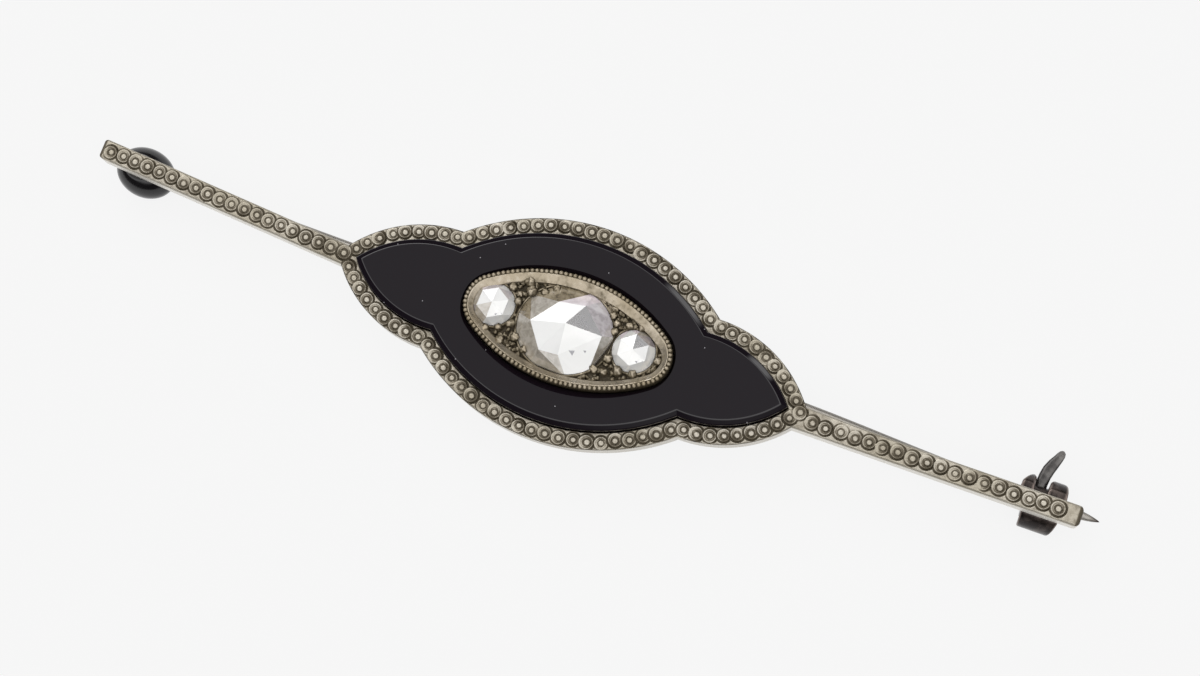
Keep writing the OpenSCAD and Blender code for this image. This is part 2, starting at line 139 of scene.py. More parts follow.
class Painter:
    """Adds the nodes of one material, or of the sky, each by the job that it does there."""

    def __init__(self, tree: bpy.types.NodeTree, end: str) -> None:
        """Starts from a tree and the name of the shader at its end."""
        self.tree = tree
        self.end = tree.nodes[end]

    def add(self, kind: str, output: str | int, settings: dict | None = None,
            links: dict | None = None) -> Socket:
        """Adds a node.

        Args:
            kind: Blender's name of the node type, without its ShaderNode.
            output: Name or number of the output that is wanted.
            settings: Values by property name, or by the name or number of an input.
            links: Output sockets by the name or number of the input that they feed.

        Returns:
            The wanted output.
        """
        node = self.tree.nodes.new(f"ShaderNode{kind}")
        for key, value in (settings or {}).items():
            if isinstance(key, str) and hasattr(node, key):
                setattr(node, key, value)
            else:
                node.inputs[key].default_value = value
        for key, socket in (links or {}).items():
            self.tree.links.new(socket, node.inputs[key])
        return node.outputs[output]

    def place(self, kind: str = "Object") -> Socket:
        """Place of each point in metres or, for Generated, as shares of the piece's box."""
        return self.add("TexCoord", kind)

    def dirt(self) -> Socket:
        """The dirt that is kept with each point of a mesh."""
        return self.add("Attribute", "Fac", {"attribute_name": "patina"})

    def grain(self, place: Socket, scale: float, detail: float, **more: float) -> Socket:
        """Smooth noise."""
        return self.add("TexNoise", "Fac", {"Scale": scale, "Detail": detail, **more}, {"Vector": place})

    def ramp(self, value: Socket, low: float, high: float, first: float = 0.0, last: float = 1.0,
             soft: bool = False) -> Socket:
        """Turns values from low to high into values from first to last, with soft ends where asked."""
        bounds = {"From Min": low, "From Max": high, "To Min": first, "To Max": last}
        kind = "SMOOTHSTEP" if soft else "LINEAR"
        return self.add("MapRange", "Result", {"interpolation_type": kind, **bounds}, {"Value": value})

    def between(self, share: Socket, first: float, last: float) -> Socket:
        """Number that goes from first to last as the share goes from 0 to 1."""
        return self.ramp(share, 0.0, 1.0, first, last)

    def join(self, operation: str, one: Socket, other: Socket, clamp: bool = False) -> Socket:
        """Joins two numbers into one."""
        return self.add("Math", 0, {"operation": operation, "use_clamp": clamp}, {0: one, 1: other})

    def largest(self, numbers: list[Socket]) -> Socket:
        """Finds the largest of some numbers.

        Args:
            numbers: One or more sockets.

        Returns:
            The largest.
        """
        most = numbers[0]
        for number in numbers[1:]:
            most = self.join("MAXIMUM", most, number)
        return most

    def blend(self, share: Socket, first: str | Socket, last: str | Socket) -> Socket:
        """Mixes two colours.

        Args:
            share: Where between the two the colour lies.
            first: Hex colour, or a socket.
            last: Hex colour, or a socket.

        Returns:
            The first colour where the share is 0, the last where it is 1.
        """
        settings, links = {"data_type": "RGBA"}, {0: share}
        for number, colour in ((6, first), (7, last)):
            if isinstance(colour, str):
                settings[number] = to_linear(colour)
            else:
                links[number] = colour
        return self.add("Mix", 2, settings, links)

    def vector(self, operation: str, output: str, one: Socket, other: Iterable[float]) -> Socket:
        """Joins a vector and a fixed one into a vector or a number."""
        return self.add("VectorMath", output, {"operation": operation, 1: other}, {0: one})

    def feed(self, inputs: dict[str, Any]) -> None:
        """Sets inputs of the end shader to values, or links them to sockets.

        Args:
            inputs: Values or sockets by the name of the input.
        """
        for name, value in inputs.items():
            if isinstance(value, Socket):
                self.tree.links.new(value, self.end.inputs[name])
            else:
                self.end.inputs[name].default_value = value

    def roughen(self, height: Socket, strength: float, depth_mm: float) -> None:
        """Bends the light on the surface by a fine relief."""
        relief = {"Strength": strength, "Distance": depth_mm * MM}
        self.feed({"Normal": self.add("Bump", "Normal", relief, {"Height": height})})


@dataclass(frozen=True)
class Finish:
    """A finish that pieces of the brooch, or its ground, can have."""

    name: str

    def build(self) -> bpy.types.Material:
        """Makes the material.

        Returns:
            The material.
        """
        material = bpy.data.materials.new(self.name)
        material.use_nodes = True
        self.paint(Painter(material.node_tree, "Principled BSDF"))
        return material

    def paint(self, to: Painter) -> None:
        """Adds what is special to the finish."""


class Shell:
    """Collects grids and balls of points in millimetres and turns them into one mesh."""

    def __init__(self) -> None:
        """Starts with nothing in it."""
        self.points: list[np.ndarray] = []
        self.patina: list[np.ndarray] = []
        self.quads: list[np.ndarray] = []
        self.corners: list[np.ndarray] = []
        self.count = 0

    def grid(self, points: np.ndarray, patina: np.ndarray | float = 0.0, cap_first: bool = False,
             cap_last: bool = False) -> None:
        """Adds closed rows of points joined into quads, with the rows running upwards or outwards.

        Args:
            points: Array of rows, columns and x, y, z.
            patina: Dirt at each point, or one value for all.
            cap_first: Whether the first row is closed with a fan.
            cap_last: Whether the last row is closed with a fan.
        """
        rows, cols = points.shape[:2]
        index = self.count + np.arange(rows * cols).reshape(rows, cols)
        ahead = np.roll(index, -1, axis=1)
        quads = np.stack([index[:-1], ahead[:-1], ahead[1:], index[1:]], -1)
        dirt = np.broadcast_to(np.ravel(patina), (rows * cols,))
        self.points.append(points.reshape(-1, 3))
        self.patina.append(dirt)
        self.quads.append(quads.reshape(-1, 4))
        self.count += rows * cols
        for row, wanted, flip in ((0, cap_first, True), (rows - 1, cap_last, False)):
            if wanted:
                self.fan(index[row], points[row].mean(0), dirt.reshape(rows, cols)[row].mean(), flip)

    def fan(self, ring: np.ndarray, middle: np.ndarray, patina: float, flip: bool) -> None:
        """Closes a ring of points that are already in the shell with a fan round one new point.

        Args:
            ring: Numbers of the ring's points.
            middle: Place of the new point.
            patina: Dirt at the new point.
            flip: Whether the fan faces back along the rows.
        """
        after = np.roll(ring, -1)
        centre = np.full(len(ring), self.count)
        self.points.append(middle.reshape(1, 3))
        self.patina.append(np.array([patina]))
        self.corners.append(np.column_stack([after, ring, centre] if flip else [ring, after, centre]))
        self.count += 1

    def ball(self, centre: tuple[float, ...], radii: tuple[float, ...] | np.ndarray, turn: float, sides: int,
             patina: float, bare: float, dent: float = 0.0, seed: float = 0.0) -> None:
        """Adds a small worn ball or pebble.

        Args:
            centre: Its middle.
            radii: Half sizes along its own length, width and height.
            turn: Angle of its length from X, in radians.
            sides: How many faces it has round its middle.
            patina: Dirt at its foot: patina in the crevice, partly painted shade.
            bare: Dirt at its top, low for wear and partly for a painted highlight.
            dent: How far its surface departs from an ellipsoid, as a share of its size.
            seed: Choice of its dents.
        """
        lat = np.linspace(-math.pi / 2, math.pi / 2, sides // 2 + 1)[1:-1]
        around = np.broadcast_to(ways(full_turn(sides)), (len(lat), sides, 2))
        unit = at_height(np.cos(lat)[:, None, None] * around, np.outer(np.sin(lat), np.ones(sides)))
        if dent:
            bumps = [noise.noise(Vector(u) * 1.7 + Vector((seed, 0, 0))) for u in unit.reshape(-1, 3)]
            unit = unit * (1 + dent * np.array(bumps).reshape(unit.shape[:2])[..., None])
        x, y, z = (unit * radii).transpose(2, 0, 1)
        c, s = math.cos(turn), math.sin(turn)
        spun = np.stack([c * x - s * y, s * x + c * y, z], -1)
        # Paler at the top and darker at the foot: wear and patina, partly a painted highlight and shade.
        dirt = patina + (bare - patina) * smooth(unit[..., 2], 0.0, 1.0)
        self.grid(spun + centre, dirt, cap_first=True, cap_last=True)

    def to_object(self, name: str, place: "Placement", material: bpy.types.Material,
                  crease_deg: float) -> bpy.types.Object:
        """Makes the object in Blender.

        Args:
            name: Its name.
            place: Where the panel's own plane lies in the frame.
            material: Its finish.
            crease_deg: Edges sharper than this stay sharp.

        Returns:
            The new object, at the origin, with its place in its mesh.
        """
        points = place.to_metres(np.concatenate(self.points))
        faces = [np.concatenate(group) for group in (self.quads, self.corners) if group]
        sizes = np.concatenate([np.full(len(rows), rows.shape[1]) for rows in faces])
        mesh = bpy.data.meshes.new(name)
        mesh.vertices.add(len(points))
        mesh.vertices.foreach_set("co", points.astype(np.float32).ravel())
        mesh.loops.add(int(sizes.sum()))
        mesh.loops.foreach_set("vertex_index", np.concatenate([rows.ravel() for rows in faces]))
        mesh.polygons.add(len(sizes))
        mesh.polygons.foreach_set("loop_start", np.concatenate([[0], np.cumsum(sizes)[:-1]]))
        mesh.polygons.foreach_set("use_smooth", np.ones(len(sizes), bool))
        mesh.update(calc_edges=True)
        mesh.validate()
        mesh.set_sharp_from_angle(angle=math.radians(crease_deg))
        dirt = mesh.attributes.new("patina", "FLOAT", "POINT")
        dirt.data.foreach_set("value", np.concatenate(self.patina).astype(np.float32))
        mesh.materials.append(material)
        made = bpy.data.objects.new(name, mesh)
        bpy.context.scene.collection.objects.link(made)
        log.info("%s: %d points, %d faces", name, len(points), len(sizes))
        return made


@dataclass(frozen=True)
class Placement:
    """Where the panel's own plane lies in the frame, in millimetres."""

    x: float
    z: float

    def to_metres(self, points: np.ndarray) -> np.ndarray:
        """Moves points from the panel's plane into the frame, in metres."""
        return (points + np.array([self.x, 0, self.z])) * MM


@dataclass(frozen=True)
class MilledSilver(Finish):
    """Silver struck with a ring punch and worn in use, with sulphide left in the hollows.

    The high rings and dots are rubbed pale and warm. The grooves are a dull olive brown and mirror little.
    Where the dirt is below zero the metal is pale and less metallic: wear, and on the frame's outer edges
    and side walls also a painted highlight.
    """

    name: str = "milled_silver"
    # Pale colour of rubbed metal, also used as a painted highlight on the frame's outer edges and side
    # walls.
    rubbed: str = "#EDE9E1"
    clean: str = "#B2ACA0"
    warm: str = "#A19A8B"
    patina: str = "#7B7160"
    deep: str = "#484031"
    metallic: float = 0.85
    metallic_dirty: float = 0.3
    metallic_rubbed: float = 0.4
    rough_clean: float = 0.4
    rough_patina: float = 0.65
    pit_mm: float = 0.09
    pit_depth_mm: float = 0.012
    cloud_mm: float = 3.5

    def paint(self, to: Painter) -> None:
        """Adds clouded metal, sulphide where there is dirt, pale metal where it is rubbed, which on the
        frame's edges is also a painted highlight, and fine pits.

        Args:
            to: Where its nodes go.
        """
        place, dirt = to.place(), to.dirt()
        pits = to.grain(place, per_metre(self.pit_mm), 3.0, Roughness=0.6)
        grime = to.ramp(pits, 0.4, 0.8, -0.08, 0.2)
        worn = to.join("ADD", dirt, grime, clamp=True)
        clouds = to.ramp(to.grain(place, per_metre(self.cloud_mm), 2.0), 0.35, 0.65)
        # Dirt below zero makes pale, less metallic metal: wear, which on the frame's edges and walls is also
        # a painted highlight.
        bare = to.ramp(dirt, 0.0, -1.0)
        metal = to.blend(bare, to.blend(clouds, self.clean, self.warm), self.rubbed)
        sulphide = to.blend(worn, self.patina, self.deep)
        cover = to.ramp(worn, 0.08, 0.75, soft=True)
        shine = to.join("MULTIPLY", to.between(cover, self.metallic, self.metallic_dirty),
                        to.between(bare, 1.0, self.metallic_rubbed))
        to.feed({"Base Color": to.blend(cover, metal, sulphide), "Metallic": shine,
                 "Roughness": to.between(worn, self.rough_clean, self.rough_patina)})
        to.roughen(pits, 0.25, self.pit_depth_mm)


@dataclass(frozen=True)
class CutSilver(MilledSilver):
    """Silver of the collet, pierced and bright cut by hand: pale bands, brown hollows round the grains."""

    name: str = "cut_silver"
    clean: str = "#A79D8D"
    warm: str = "#8F836E"
    patina: str = "#75694F"
    deep: str = "#3D3424"
    rough_clean: float = 0.26
    pit_mm: float = 0.16


@dataclass(frozen=True)
class PolishedOnyx(Finish):
    """Onyx lapped flat and polished: a black mirror of glassy depth with a few specks of dust."""

    name: str = "polished_onyx"
    body: str = "#0E080F"
    dust: str = "#8E8C90"
    dust_apart_mm: float = 4.2
    dust_size: tuple[float, float] = (0.006, 0.011)
    rough: float = 0.03
    rough_dust: float = 0.6
    ior: float = 1.54

    def paint(self, to: Painter) -> None:
        """Adds the black stone with a speck in each cell of a pattern.

        Args:
            to: Where its nodes go.
        """
        cells = {"voronoi_dimensions": "2D", "Scale": per_metre(self.dust_apart_mm)}
        away = to.add("TexVoronoi", "Distance", cells, {"Vector": to.place()})
        speck = to.ramp(away, *self.dust_size, 1.0, 0.0)
        to.feed({"Base Color": to.blend(speck, self.body, self.dust), "IOR": self.ior,
                 "Roughness": to.between(speck, self.rough, self.rough_dust)})


class Mark(NamedTuple):
    """A dark triangle that is a painted reflection on a facet: its middle and radius as shares of the
    stone's box.
    """

    x: float
    y: float
    radius: float


@dataclass(frozen=True)
class RoseCutDiamond(Finish):
    """One kind of facet of a diamond cut by hand and mounted over leaf.

    A clean facet is colourless and mirrors hard. The other kinds carry a painted reflection: a fixed tone,
    with some of the light held back or scattered, so that they are flat in tone, with faint streaks or small
    dark marks that are painted reflections too.
    """

    body: str = "#FFFFFF"
    shade: str = ""
    rough: float = 0.0
    clear: float = 1.0
    marks: tuple[Mark, ...] = ()
    mark: str = "#6F6F78"
    mark_sides_deg: tuple[float, ...] = (110, 230, 350)
    streak_mm: float = 0.45
    ripple_mm: float = 1.2
    ripple_depth_mm: float = 0.01
    ior: float = 2.42

    def paint(self, to: Painter) -> None:
        """Adds a clear stone, or one with a painted reflection, with the faint ripple that polishing by hand
        leaves.

        Args:
            to: Where its nodes go.
        """
        to.roughen(to.grain(to.place(), per_metre(self.ripple_mm), 1.0), 0.05, self.ripple_depth_mm)
        # The base colour, with its streaks and dark marks, is a painted reflection of the surroundings.
        to.feed({"Base Color": to_linear(self.body), "Roughness": self.rough, "IOR": self.ior,
                 "Transmission Weight": self.clear})
        if self.shade:
            streaks = to.grain(to.place(), per_metre(self.streak_mm), 4.0, Distortion=0.8)
            to.feed({"Base Color": to.blend(to.ramp(streaks, 0.4, 0.65), self.body, self.shade)})
        if self.marks:
            triangles = to.largest([self.triangle(to, mark) for mark in self.marks])
            to.feed({"Base Color": to.blend(triangles, self.body, self.mark)})

    def triangle(self, to: Painter, mark: Mark) -> Socket:
        """Draws a small triangle of painted reflection: 1 inside it and 0 outside, with a soft edge.

        Args:
            to: Where its nodes go.
            mark: The triangle.

        Returns:
            A number at each point of the facet.
        """
        away = to.vector("SUBTRACT", "Vector", to.place("Generated"), (mark.x, mark.y, 0))
        sides = ways(np.radians(self.mark_sides_deg))
        far = to.largest([to.vector("DOT_PRODUCT", "Value", away, (x, y, 0)) for x, y in sides])
        return to.ramp(far, 0.6 * mark.radius, 0.4 * mark.radius)


class Facet(Enum):
    """The kinds of facets, by the letter that stands for each in a stone's rows. Each kind's colour is a
    painted reflection.
    """

    W = RoseCutDiamond("diamond_grey_painted_reflection", "#7B787D", rough=0.25)
    S = RoseCutDiamond("diamond_pale_painted_reflection", "#E2E2E1", clear=0.4)
    L = RoseCutDiamond("diamond_white_painted_reflection", "#FAFAF8", clear=0.4,
                       marks=(Mark(0.67, 0.265, 0.035), Mark(0.79, 0.325, 0.018)))
    F = RoseCutDiamond("diamond_beige_painted_reflection", "#B9B2A7", "#9A9284", 0.1, 0.3)
    B = RoseCutDiamond("diamond_brown_painted_reflection", "#9C8F77", "#665A45", 0.2, 0.25)
    V = RoseCutDiamond("diamond_lilac_painted_reflection", "#D3CDD0", "#B8B1B4", 0.1, 0.3)
    R = RoseCutDiamond("diamond_rosy_painted_reflection", "#F4E9EE", "#DCD0D5", 0.1, 0.3)
    D = RoseCutDiamond("diamond_dusky_painted_reflection", "#A39B9D", "#898284", 0.1, 0.3)


@dataclass(frozen=True)
class SilverFoil(Finish):
    """Thin silver leaf burnished under a stone, which throws the light back, and is dulled by tarnish."""

    name: str = "silver_leaf"
    leaf: str = "#FFFEFC"
    burnished: str = "#D6D4D1"
    tarnish: str = "#71757E"
    metallic: float = 0.8
    middle: tuple[float, float] = (0.2, 0.38)

    def paint(self, to: Painter) -> None:
        """Adds a greyer middle, a bright rim and a little ragged tarnish.

        Args:
            to: Where its nodes go.
        """
        box = to.place("Generated")
        flat = to.vector("MULTIPLY", "Vector", box, (1, 1, 0))
        outside = to.ramp(to.vector("DISTANCE", "Value", flat, (0.5, 0.5, 0)), *self.middle)
        dull = to.ramp(to.grain(box, 7.0, 4.0), 0.66, 0.8, 0.0, 0.2)
        leaf = to.blend(outside, self.burnished, self.leaf)
        to.feed({"Base Color": to.blend(dull, leaf, self.tarnish), "Metallic": self.metallic,
                 "Roughness": to.between(outside, 0.25, 0.4)})


@dataclass(frozen=True)
class Gunmetal(Finish):
    """Base metal of the findings, blackened by age: a dark skin with a grey shine where it is rubbed."""

    body: str
    rub: str
    rough: float
    metallic: float
    cloud_mm: float = 0.9
    rougher: float = 0.15

    def paint(self, to: Painter) -> None:
        """Adds the dark skin, rubbed in clouds and where the dirt is below zero, which along the catch's
        edges is also a painted highlight.

        Args:
            to: Where its nodes go.
        """
        clouds = to.grain(to.place(), per_metre(self.cloud_mm), 4.0)
        cloudy = to.ramp(clouds, 0.45, 0.75, 0.0, 0.5)
        rubbed = to.join("SUBTRACT", cloudy, to.dirt(), clamp=True)
        to.feed({"Base Color": to.blend(rubbed, self.body, self.rub), "Metallic": self.metallic,
                 "Roughness": to.between(clouds, self.rough, self.rough + self.rougher)})


@dataclass(frozen=True)
class DrawnWire(Finish):
    """Nickel silver wire of the pin, drawn and hardened: a cool grey satin with lines along it."""

    name: str = "drawn_wire"
    bright: str = "#A19E98"
    dull: str = "#8B857E"
    tip: str = "#3B3230"
    tip_from: float = 37.7
    tip_to: float = 38.4
    line_mm: float = 0.08
    line_depth_mm: float = 0.004
    drawn_out: float = 0.03
    rough: float = 0.42

    def paint(self, to: Painter) -> None:
        """Adds lines along the wire and a dark point.

        Args:
            to: Where its nodes go.
        """
        place = to.place()
        along = to.add("Mapping", "Vector", {"Scale": (self.drawn_out, 1.0, 1.0)}, {"Vector": place})
        lines = to.grain(along, per_metre(self.line_mm), 2.0)
        x = to.add("SeparateXYZ", "X", {}, {0: place})
        point = to.ramp(x, self.tip_from * MM, self.tip_to * MM)
        wire = to.blend(lines, self.bright, self.dull)
        to.feed({"Base Color": to.blend(point, wire, self.tip), "Metallic": 1.0, "Roughness": self.rough})
        to.roughen(lines, 0.15, self.line_depth_mm)


@dataclass(frozen=True)
class WhiteAcrylic(Finish):
    """White sheet that the brooch lies on, lit through from below, so that no hard shadow falls on it."""

    name: str = "white_acrylic"
    body: tuple[float, float, float, float] = (0.04, 0.04, 0.04, 1.0)
    paper: str = "#F6F6F6"
    glow: float = 0.947
    rough: float = 0.9

    def paint(self, to: Painter) -> None:
        """Adds a matt sheet that glows."""
        to.feed({"Base Color": self.body, "Roughness": self.rough, "Specular IOR Level": 0.0,
                 "Emission Color": to_linear(self.paper), "Emission Strength": self.glow})


class Metal(Enum):
    """The finishes of the metal pieces, by the part of the brooch that has them."""

    MILLED = MilledSilver()
    CUT = CutSilver()
    KNUCKLE = Gunmetal("polished_gunmetal", "#0D0B0D", "#151315", 0.1, 0.0)
    CATCH = Gunmetal("worn_gunmetal", "#1B1311", "#71655F", 0.2, 0.6, 0.7)
    LEVER = Gunmetal("rubbed_gunmetal", "#454342", "#85827F", 0.22, 0.8, 0.8)
    WIRE = DrawnWire()


@dataclass(frozen=True)
class PanelOutline:
    """The ring line of the panel: two long arcs and four lobe arcs that meet in notches and cusps."""

    long_r: float = 14.67
    long_off: float = 7.21
    lobe_r: float = 8.85
    lobe_x: float = 9.95
    lobe_y: float = 4.97

    def cusp(self, grow: float = 0.0) -> float:
        """Distance of the pointed end from the middle, for the outline grown outwards."""
        return self.lobe_x + math.sqrt((self.lobe_r + grow) ** 2 - self.lobe_y ** 2)

    def notch(self, grow: float = 0.0) -> np.ndarray:
        """Finds the notch in the first quadrant, where a lobe arc meets a long arc.

        Args:
            grow: How far the outline is moved outwards.

        Returns:
            Its x and y.
        """
        near, far = self.lobe_r + grow, self.long_r + grow
        span = math.hypot(self.lobe_x, self.long_off - self.lobe_y)
        share = (far ** 2 - near ** 2 + span ** 2) / (2 * span)
        turn = math.atan2(self.long_off - self.lobe_y, self.lobe_x) + math.acos(share / far)
        return np.array([far * math.cos(turn), far * math.sin(turn) - self.long_off])

    def lobe_span(self, grow: float = 0.0) -> tuple[float, float]:
        """Angles of the first quadrant's lobe arc at the cusp and at the notch, in radians."""
        notch = self.notch(grow)
        return (math.atan2(self.lobe_y, self.cusp(grow) - self.lobe_x),
                math.atan2(notch[1] + self.lobe_y, notch[0] - self.lobe_x))

    def long_start(self, grow: float = 0.0) -> float:
        """Angle of the top long arc at the right notch, in radians."""
        notch = self.notch(grow)
        return math.atan2(notch[1] + self.long_off, notch[0])

    def on_lobe(self, turns: np.ndarray, grow: float = 0.0) -> np.ndarray:
        """Points of the first quadrant's lobe arc at some angles."""
        return (self.lobe_r + grow) * ways(turns) + [self.lobe_x, -self.lobe_y]

    def on_long(self, turns: np.ndarray, grow: float = 0.0) -> np.ndarray:
        """Points of the top long arc at some angles."""
        return (self.long_r + grow) * ways(turns) - [0, self.long_off]

    def chain(self, grow: float, step: float) -> np.ndarray:
        """Outline grown outwards, anticlockwise from the right cusp.

        Args:
            grow: How far it is moved outwards.
            step: About how far apart its points lie. Outlines of one step have as many points.

        Returns:
            Rows of x and y.
        """
        start, end = self.lobe_span()
        lobe_n = int((end - start) * self.lobe_r / step)
        long_n = int((math.pi / 2 - self.long_start()) * self.long_r / step)
        lobe = self.on_lobe(np.linspace(*self.lobe_span(grow), lobe_n + 1), grow)
        long = self.on_long(np.linspace(self.long_start(grow), math.pi / 2, long_n + 1)[1:], grow)
        quarter = np.concatenate([lobe, long])
        half = np.concatenate([quarter, (quarter * [-1, 1])[-2::-1]])
        return np.concatenate([half, -half[1:-1]])


@dataclass(frozen=True)
class RingPunch:
    """The punch that struck the milling: a dot in a ring, each strike cutting into the one before.

    The punch was held by hand and leans to the right, so that side of each ring is deep and dark, and the
    ring stands out as a crescent on the other side.
    """

    profile: tuple[tuple[float, float], ...] = (
        (0.00, -0.012), (0.12, -0.015), (0.175, -0.027), (0.21, -0.055), (0.235, -0.105), (0.26, -0.135),
        (0.28, -0.1), (0.3, -0.058), (0.325, -0.048), (0.35, -0.066), (0.38, -0.082), (0.41, -0.07),
        (0.44, -0.042), (0.475, -0.026), (0.505, -0.035), (0.535, -0.085), (0.565, -0.14), (0.605, -0.15),
        (0.63, -0.1), (0.68, -0.035),
    )
    dot_r: float = 0.22
    ring_from: float = 1.6
    ring_edge: float = 0.56
    reach: float = 1.15
    shift: float = 0.1
    shift_at: float = 0.6
    sink: float = 0.03
    stray: float = 0.055
    sizes: tuple[float, float] = (0.88, 1.0)
    lean_mean: float = -0.4
    lean_spread: float = 0.8
    strengths: tuple[float, float] = (0.2, 0.75)
    weights: tuple[float, float] = (0.8, 1.1)
    seed: int = 7

    def strike(self, xy: np.ndarray, start: np.ndarray, places: np.ndarray) -> np.ndarray:
        """Strikes a row of rings into a surface.

        Args:
            xy: Places of the surface's points.
            start: Their heights above the relief's top before the first strike.
            places: Places of the rings, in the order of striking.

        Returns:
            The new heights.
        """
        radii, depths = np.array(self.profile).T
        random = np.random.default_rng(self.seed)
        out = start.copy()
        edge = radii[-1]
        for centre in places:
            middle = centre + random.uniform(-self.stray, self.stray, 2)
            size = random.uniform(*self.sizes)
            lean = random.normal(self.lean_mean, self.lean_spread)
            strength = random.uniform(*self.strengths)
            weight = random.uniform(*self.weights)
            near = np.nonzero((np.abs(xy - middle) < edge * self.reach).all(-1))
            offset = (xy[near] - middle) / size
            way = ways(lean)
            from_dot = np.hypot(*offset.T)
            from_ring = np.hypot(*(offset + self.shift * strength / self.shift_at * way).T)
            in_ring = smooth(from_dot, self.dot_r, self.ring_from * self.dot_r)
            far = from_dot + (from_ring - from_dot) * in_ring
            side = (offset @ way) / edge
            depth = np.interp(far, radii, depths) * weight * (1 + strength * side)
            depth -= self.sink * strength * (1 + side)
            now = out[near]
            fringe = np.minimum(now, depth)
            out[near] = np.where(far < self.ring_edge, depth, np.where(far < edge, fringe, now))
        return out


@dataclass
class SilverFrame:
    """Border, back plate and arms, soldered into one."""

    outline: PanelOutline
    border_out: float = 0.57
    border_in: float = 0.65
    height: float = 1.5
    plate: float = 0.4
    arm_reach: float = 37.8
    arm_w: float = 1.5
    arm_end_r: float = 0.4
    arm_overlap: float = 0.3
    left_root_y: float = 0.02
    left_bend: float = math.radians(4.5)
    right_root_y: float = -0.42
    flare: float = 0.2
    flare_reach: float = 10.0
    left_plain: float = 0.86
    right_plain: float = 1.69
    left_first: float = 0.3
    right_first: float = 0.08
    left_rings: int = 20
    right_rings: int = 19
    long_rings: int = 21
    lobe_rings: int = 9
    lobe_first: float = 0.85
    lobe_spare: float = 0.35
    ground: float = -0.045
    edge_r: float = 0.22
    inner_edge_r: float = 0.07
    groove: tuple[float, float] = (0.02, 0.12)
    groove_dirt: float = 0.95
    most_dirt: float = 1.2
    # Dirt below zero on the outer edges and side walls: pale worn metal that is partly a painted highlight.
    pale_edge_wear_and_highlight: float = -0.7
    pale_side_wear_and_highlight: float = -0.8
    uneven: Bumps = Bumps(0.012, 0.9, 3.1)
    wear: Bumps = Bumps(0.5, 2.3, 9.4)
    smear: Bumps = Bumps(0.22, 0.35, 6.6)
    foot_r: float = 0.1
    shoulder: float = 0.16
    end_fall: float = 0.95
    dive: tuple[float, float] = (0.4, 0.15)
    step: float = 0.0385
    punch: RingPunch = field(default_factory=RingPunch)

    def arm_y(self, x: np.ndarray) -> np.ndarray:
        """Sideways place of the arms' middle line."""
        left = self.left_root_y + (-x - self.outline.cusp()) * math.tan(self.left_bend)
        return np.where(x < 0, left, self.right_root_y)

    def arm_half(self, x: np.ndarray) -> np.ndarray:
        """Half width of the arms on the far side, where the right one widens a little towards its root."""
        root = self.outline.cusp()
        return self.arm_w / 2 + self.flare * (1 - smooth(x, root, root + self.flare_reach)) * (x > 0)

    def ring_places(self) -> np.ndarray:
        """Lays out all rings in the order in which they were struck.

        Returns:
            Rows of x and y.
        """
        line = self.outline
        start, end = line.lobe_span()
        share = (np.arange(self.lobe_rings) + self.lobe_first) / (self.lobe_rings + self.lobe_spare)
        lobe = line.on_lobe(start + (end - start) * share)
        first = line.long_start()
        share = (np.arange(self.long_rings) + 0.5) / self.long_rings
        long = line.on_long(first + (math.pi - 2 * first) * share)
        root, tip = line.cusp(), self.arm_reach
        left_x = -np.linspace(root + self.left_first, tip - self.left_plain, self.left_rings)[::-1]
        right_x = np.linspace(root + self.right_first, tip - self.right_plain, self.right_rings)
        left = np.column_stack([left_x, self.arm_y(left_x)])
        right = np.column_stack([right_x, self.arm_y(right_x)])
        # The right arm's first ring lies on the panel's middle line, not on the arm's.
        right[0, 1] = 0.0
        top = [lobe * [-1, 1], long[::-1], lobe[::-1]]
        bottom = [-lobe, -long, (lobe * [1, -1])[::-1]]
        return np.concatenate([*top, *bottom, left, right])

    def depth_inside(self, xy: np.ndarray) -> np.ndarray:
        """Measures how far inside the border's and arms' common outer edge points lie.

        Args:
            xy: Places of the points.

        Returns:
            A distance for each, below zero outside.
        """
        x, y = np.abs(xy[..., 0]), np.abs(xy[..., 1])
        line = self.outline
        long = line.long_r - np.hypot(x, y + line.long_off)
        lobe = line.lobe_r - np.hypot(x - line.lobe_x, y + line.lobe_y)
        border = np.maximum(long, lobe) + self.border_out
        off = xy[..., 1] - self.arm_y(xy[..., 0])
        arm = np.where(off > 0, self.arm_half(xy[..., 0]), self.arm_w / 2) - np.abs(off)
        on_arm = x > line.cusp() - self.arm_overlap
        return np.where(on_arm, np.maximum(border, arm), border)

    def relief(self, xy: np.ndarray, inner: np.ndarray, places: np.ndarray) -> tuple[np.ndarray, np.ndarray]:
        """Heights and dirt of the milled top face.

        Args:
            xy: Places of the points.
            inner: Distance of each point from the border's inner edge.
            places: The rings.

        Returns:
            Heights above the frame's back, and dirt from 0 to 1.2, or below zero at the outer edge, where
            the metal is rubbed and a highlight is painted.
        """
        struck = self.punch.strike(xy, self.ground + self.uneven.at(xy), places)
        outer = self.depth_inside(xy)
        fall = np.zeros_like(struck)
        for depth, radius in ((outer, self.edge_r), (inner, self.inner_edge_r)):
            t = np.clip(1 - depth / radius, 0, 1)
            fall += radius * (1 - np.sqrt(1 - t * t * 0.98))
        hollow = smooth(-struck, *self.groove)
        wear = 0.5 + self.wear.at(xy)
        dirt = hollow * (self.groove_dirt + 0.2 * wear) + 0.28 * wear + self.smear.at(xy)
        # Painted highlight, partly wear: the outer edge is given pale rubbed metal.
        rubbed = 1 - smooth(outer, 0.0, 0.6 * self.edge_r)
        dirt = np.clip(dirt, 0, self.most_dirt) * (1 - rubbed) + self.pale_edge_wear_and_highlight * rubbed
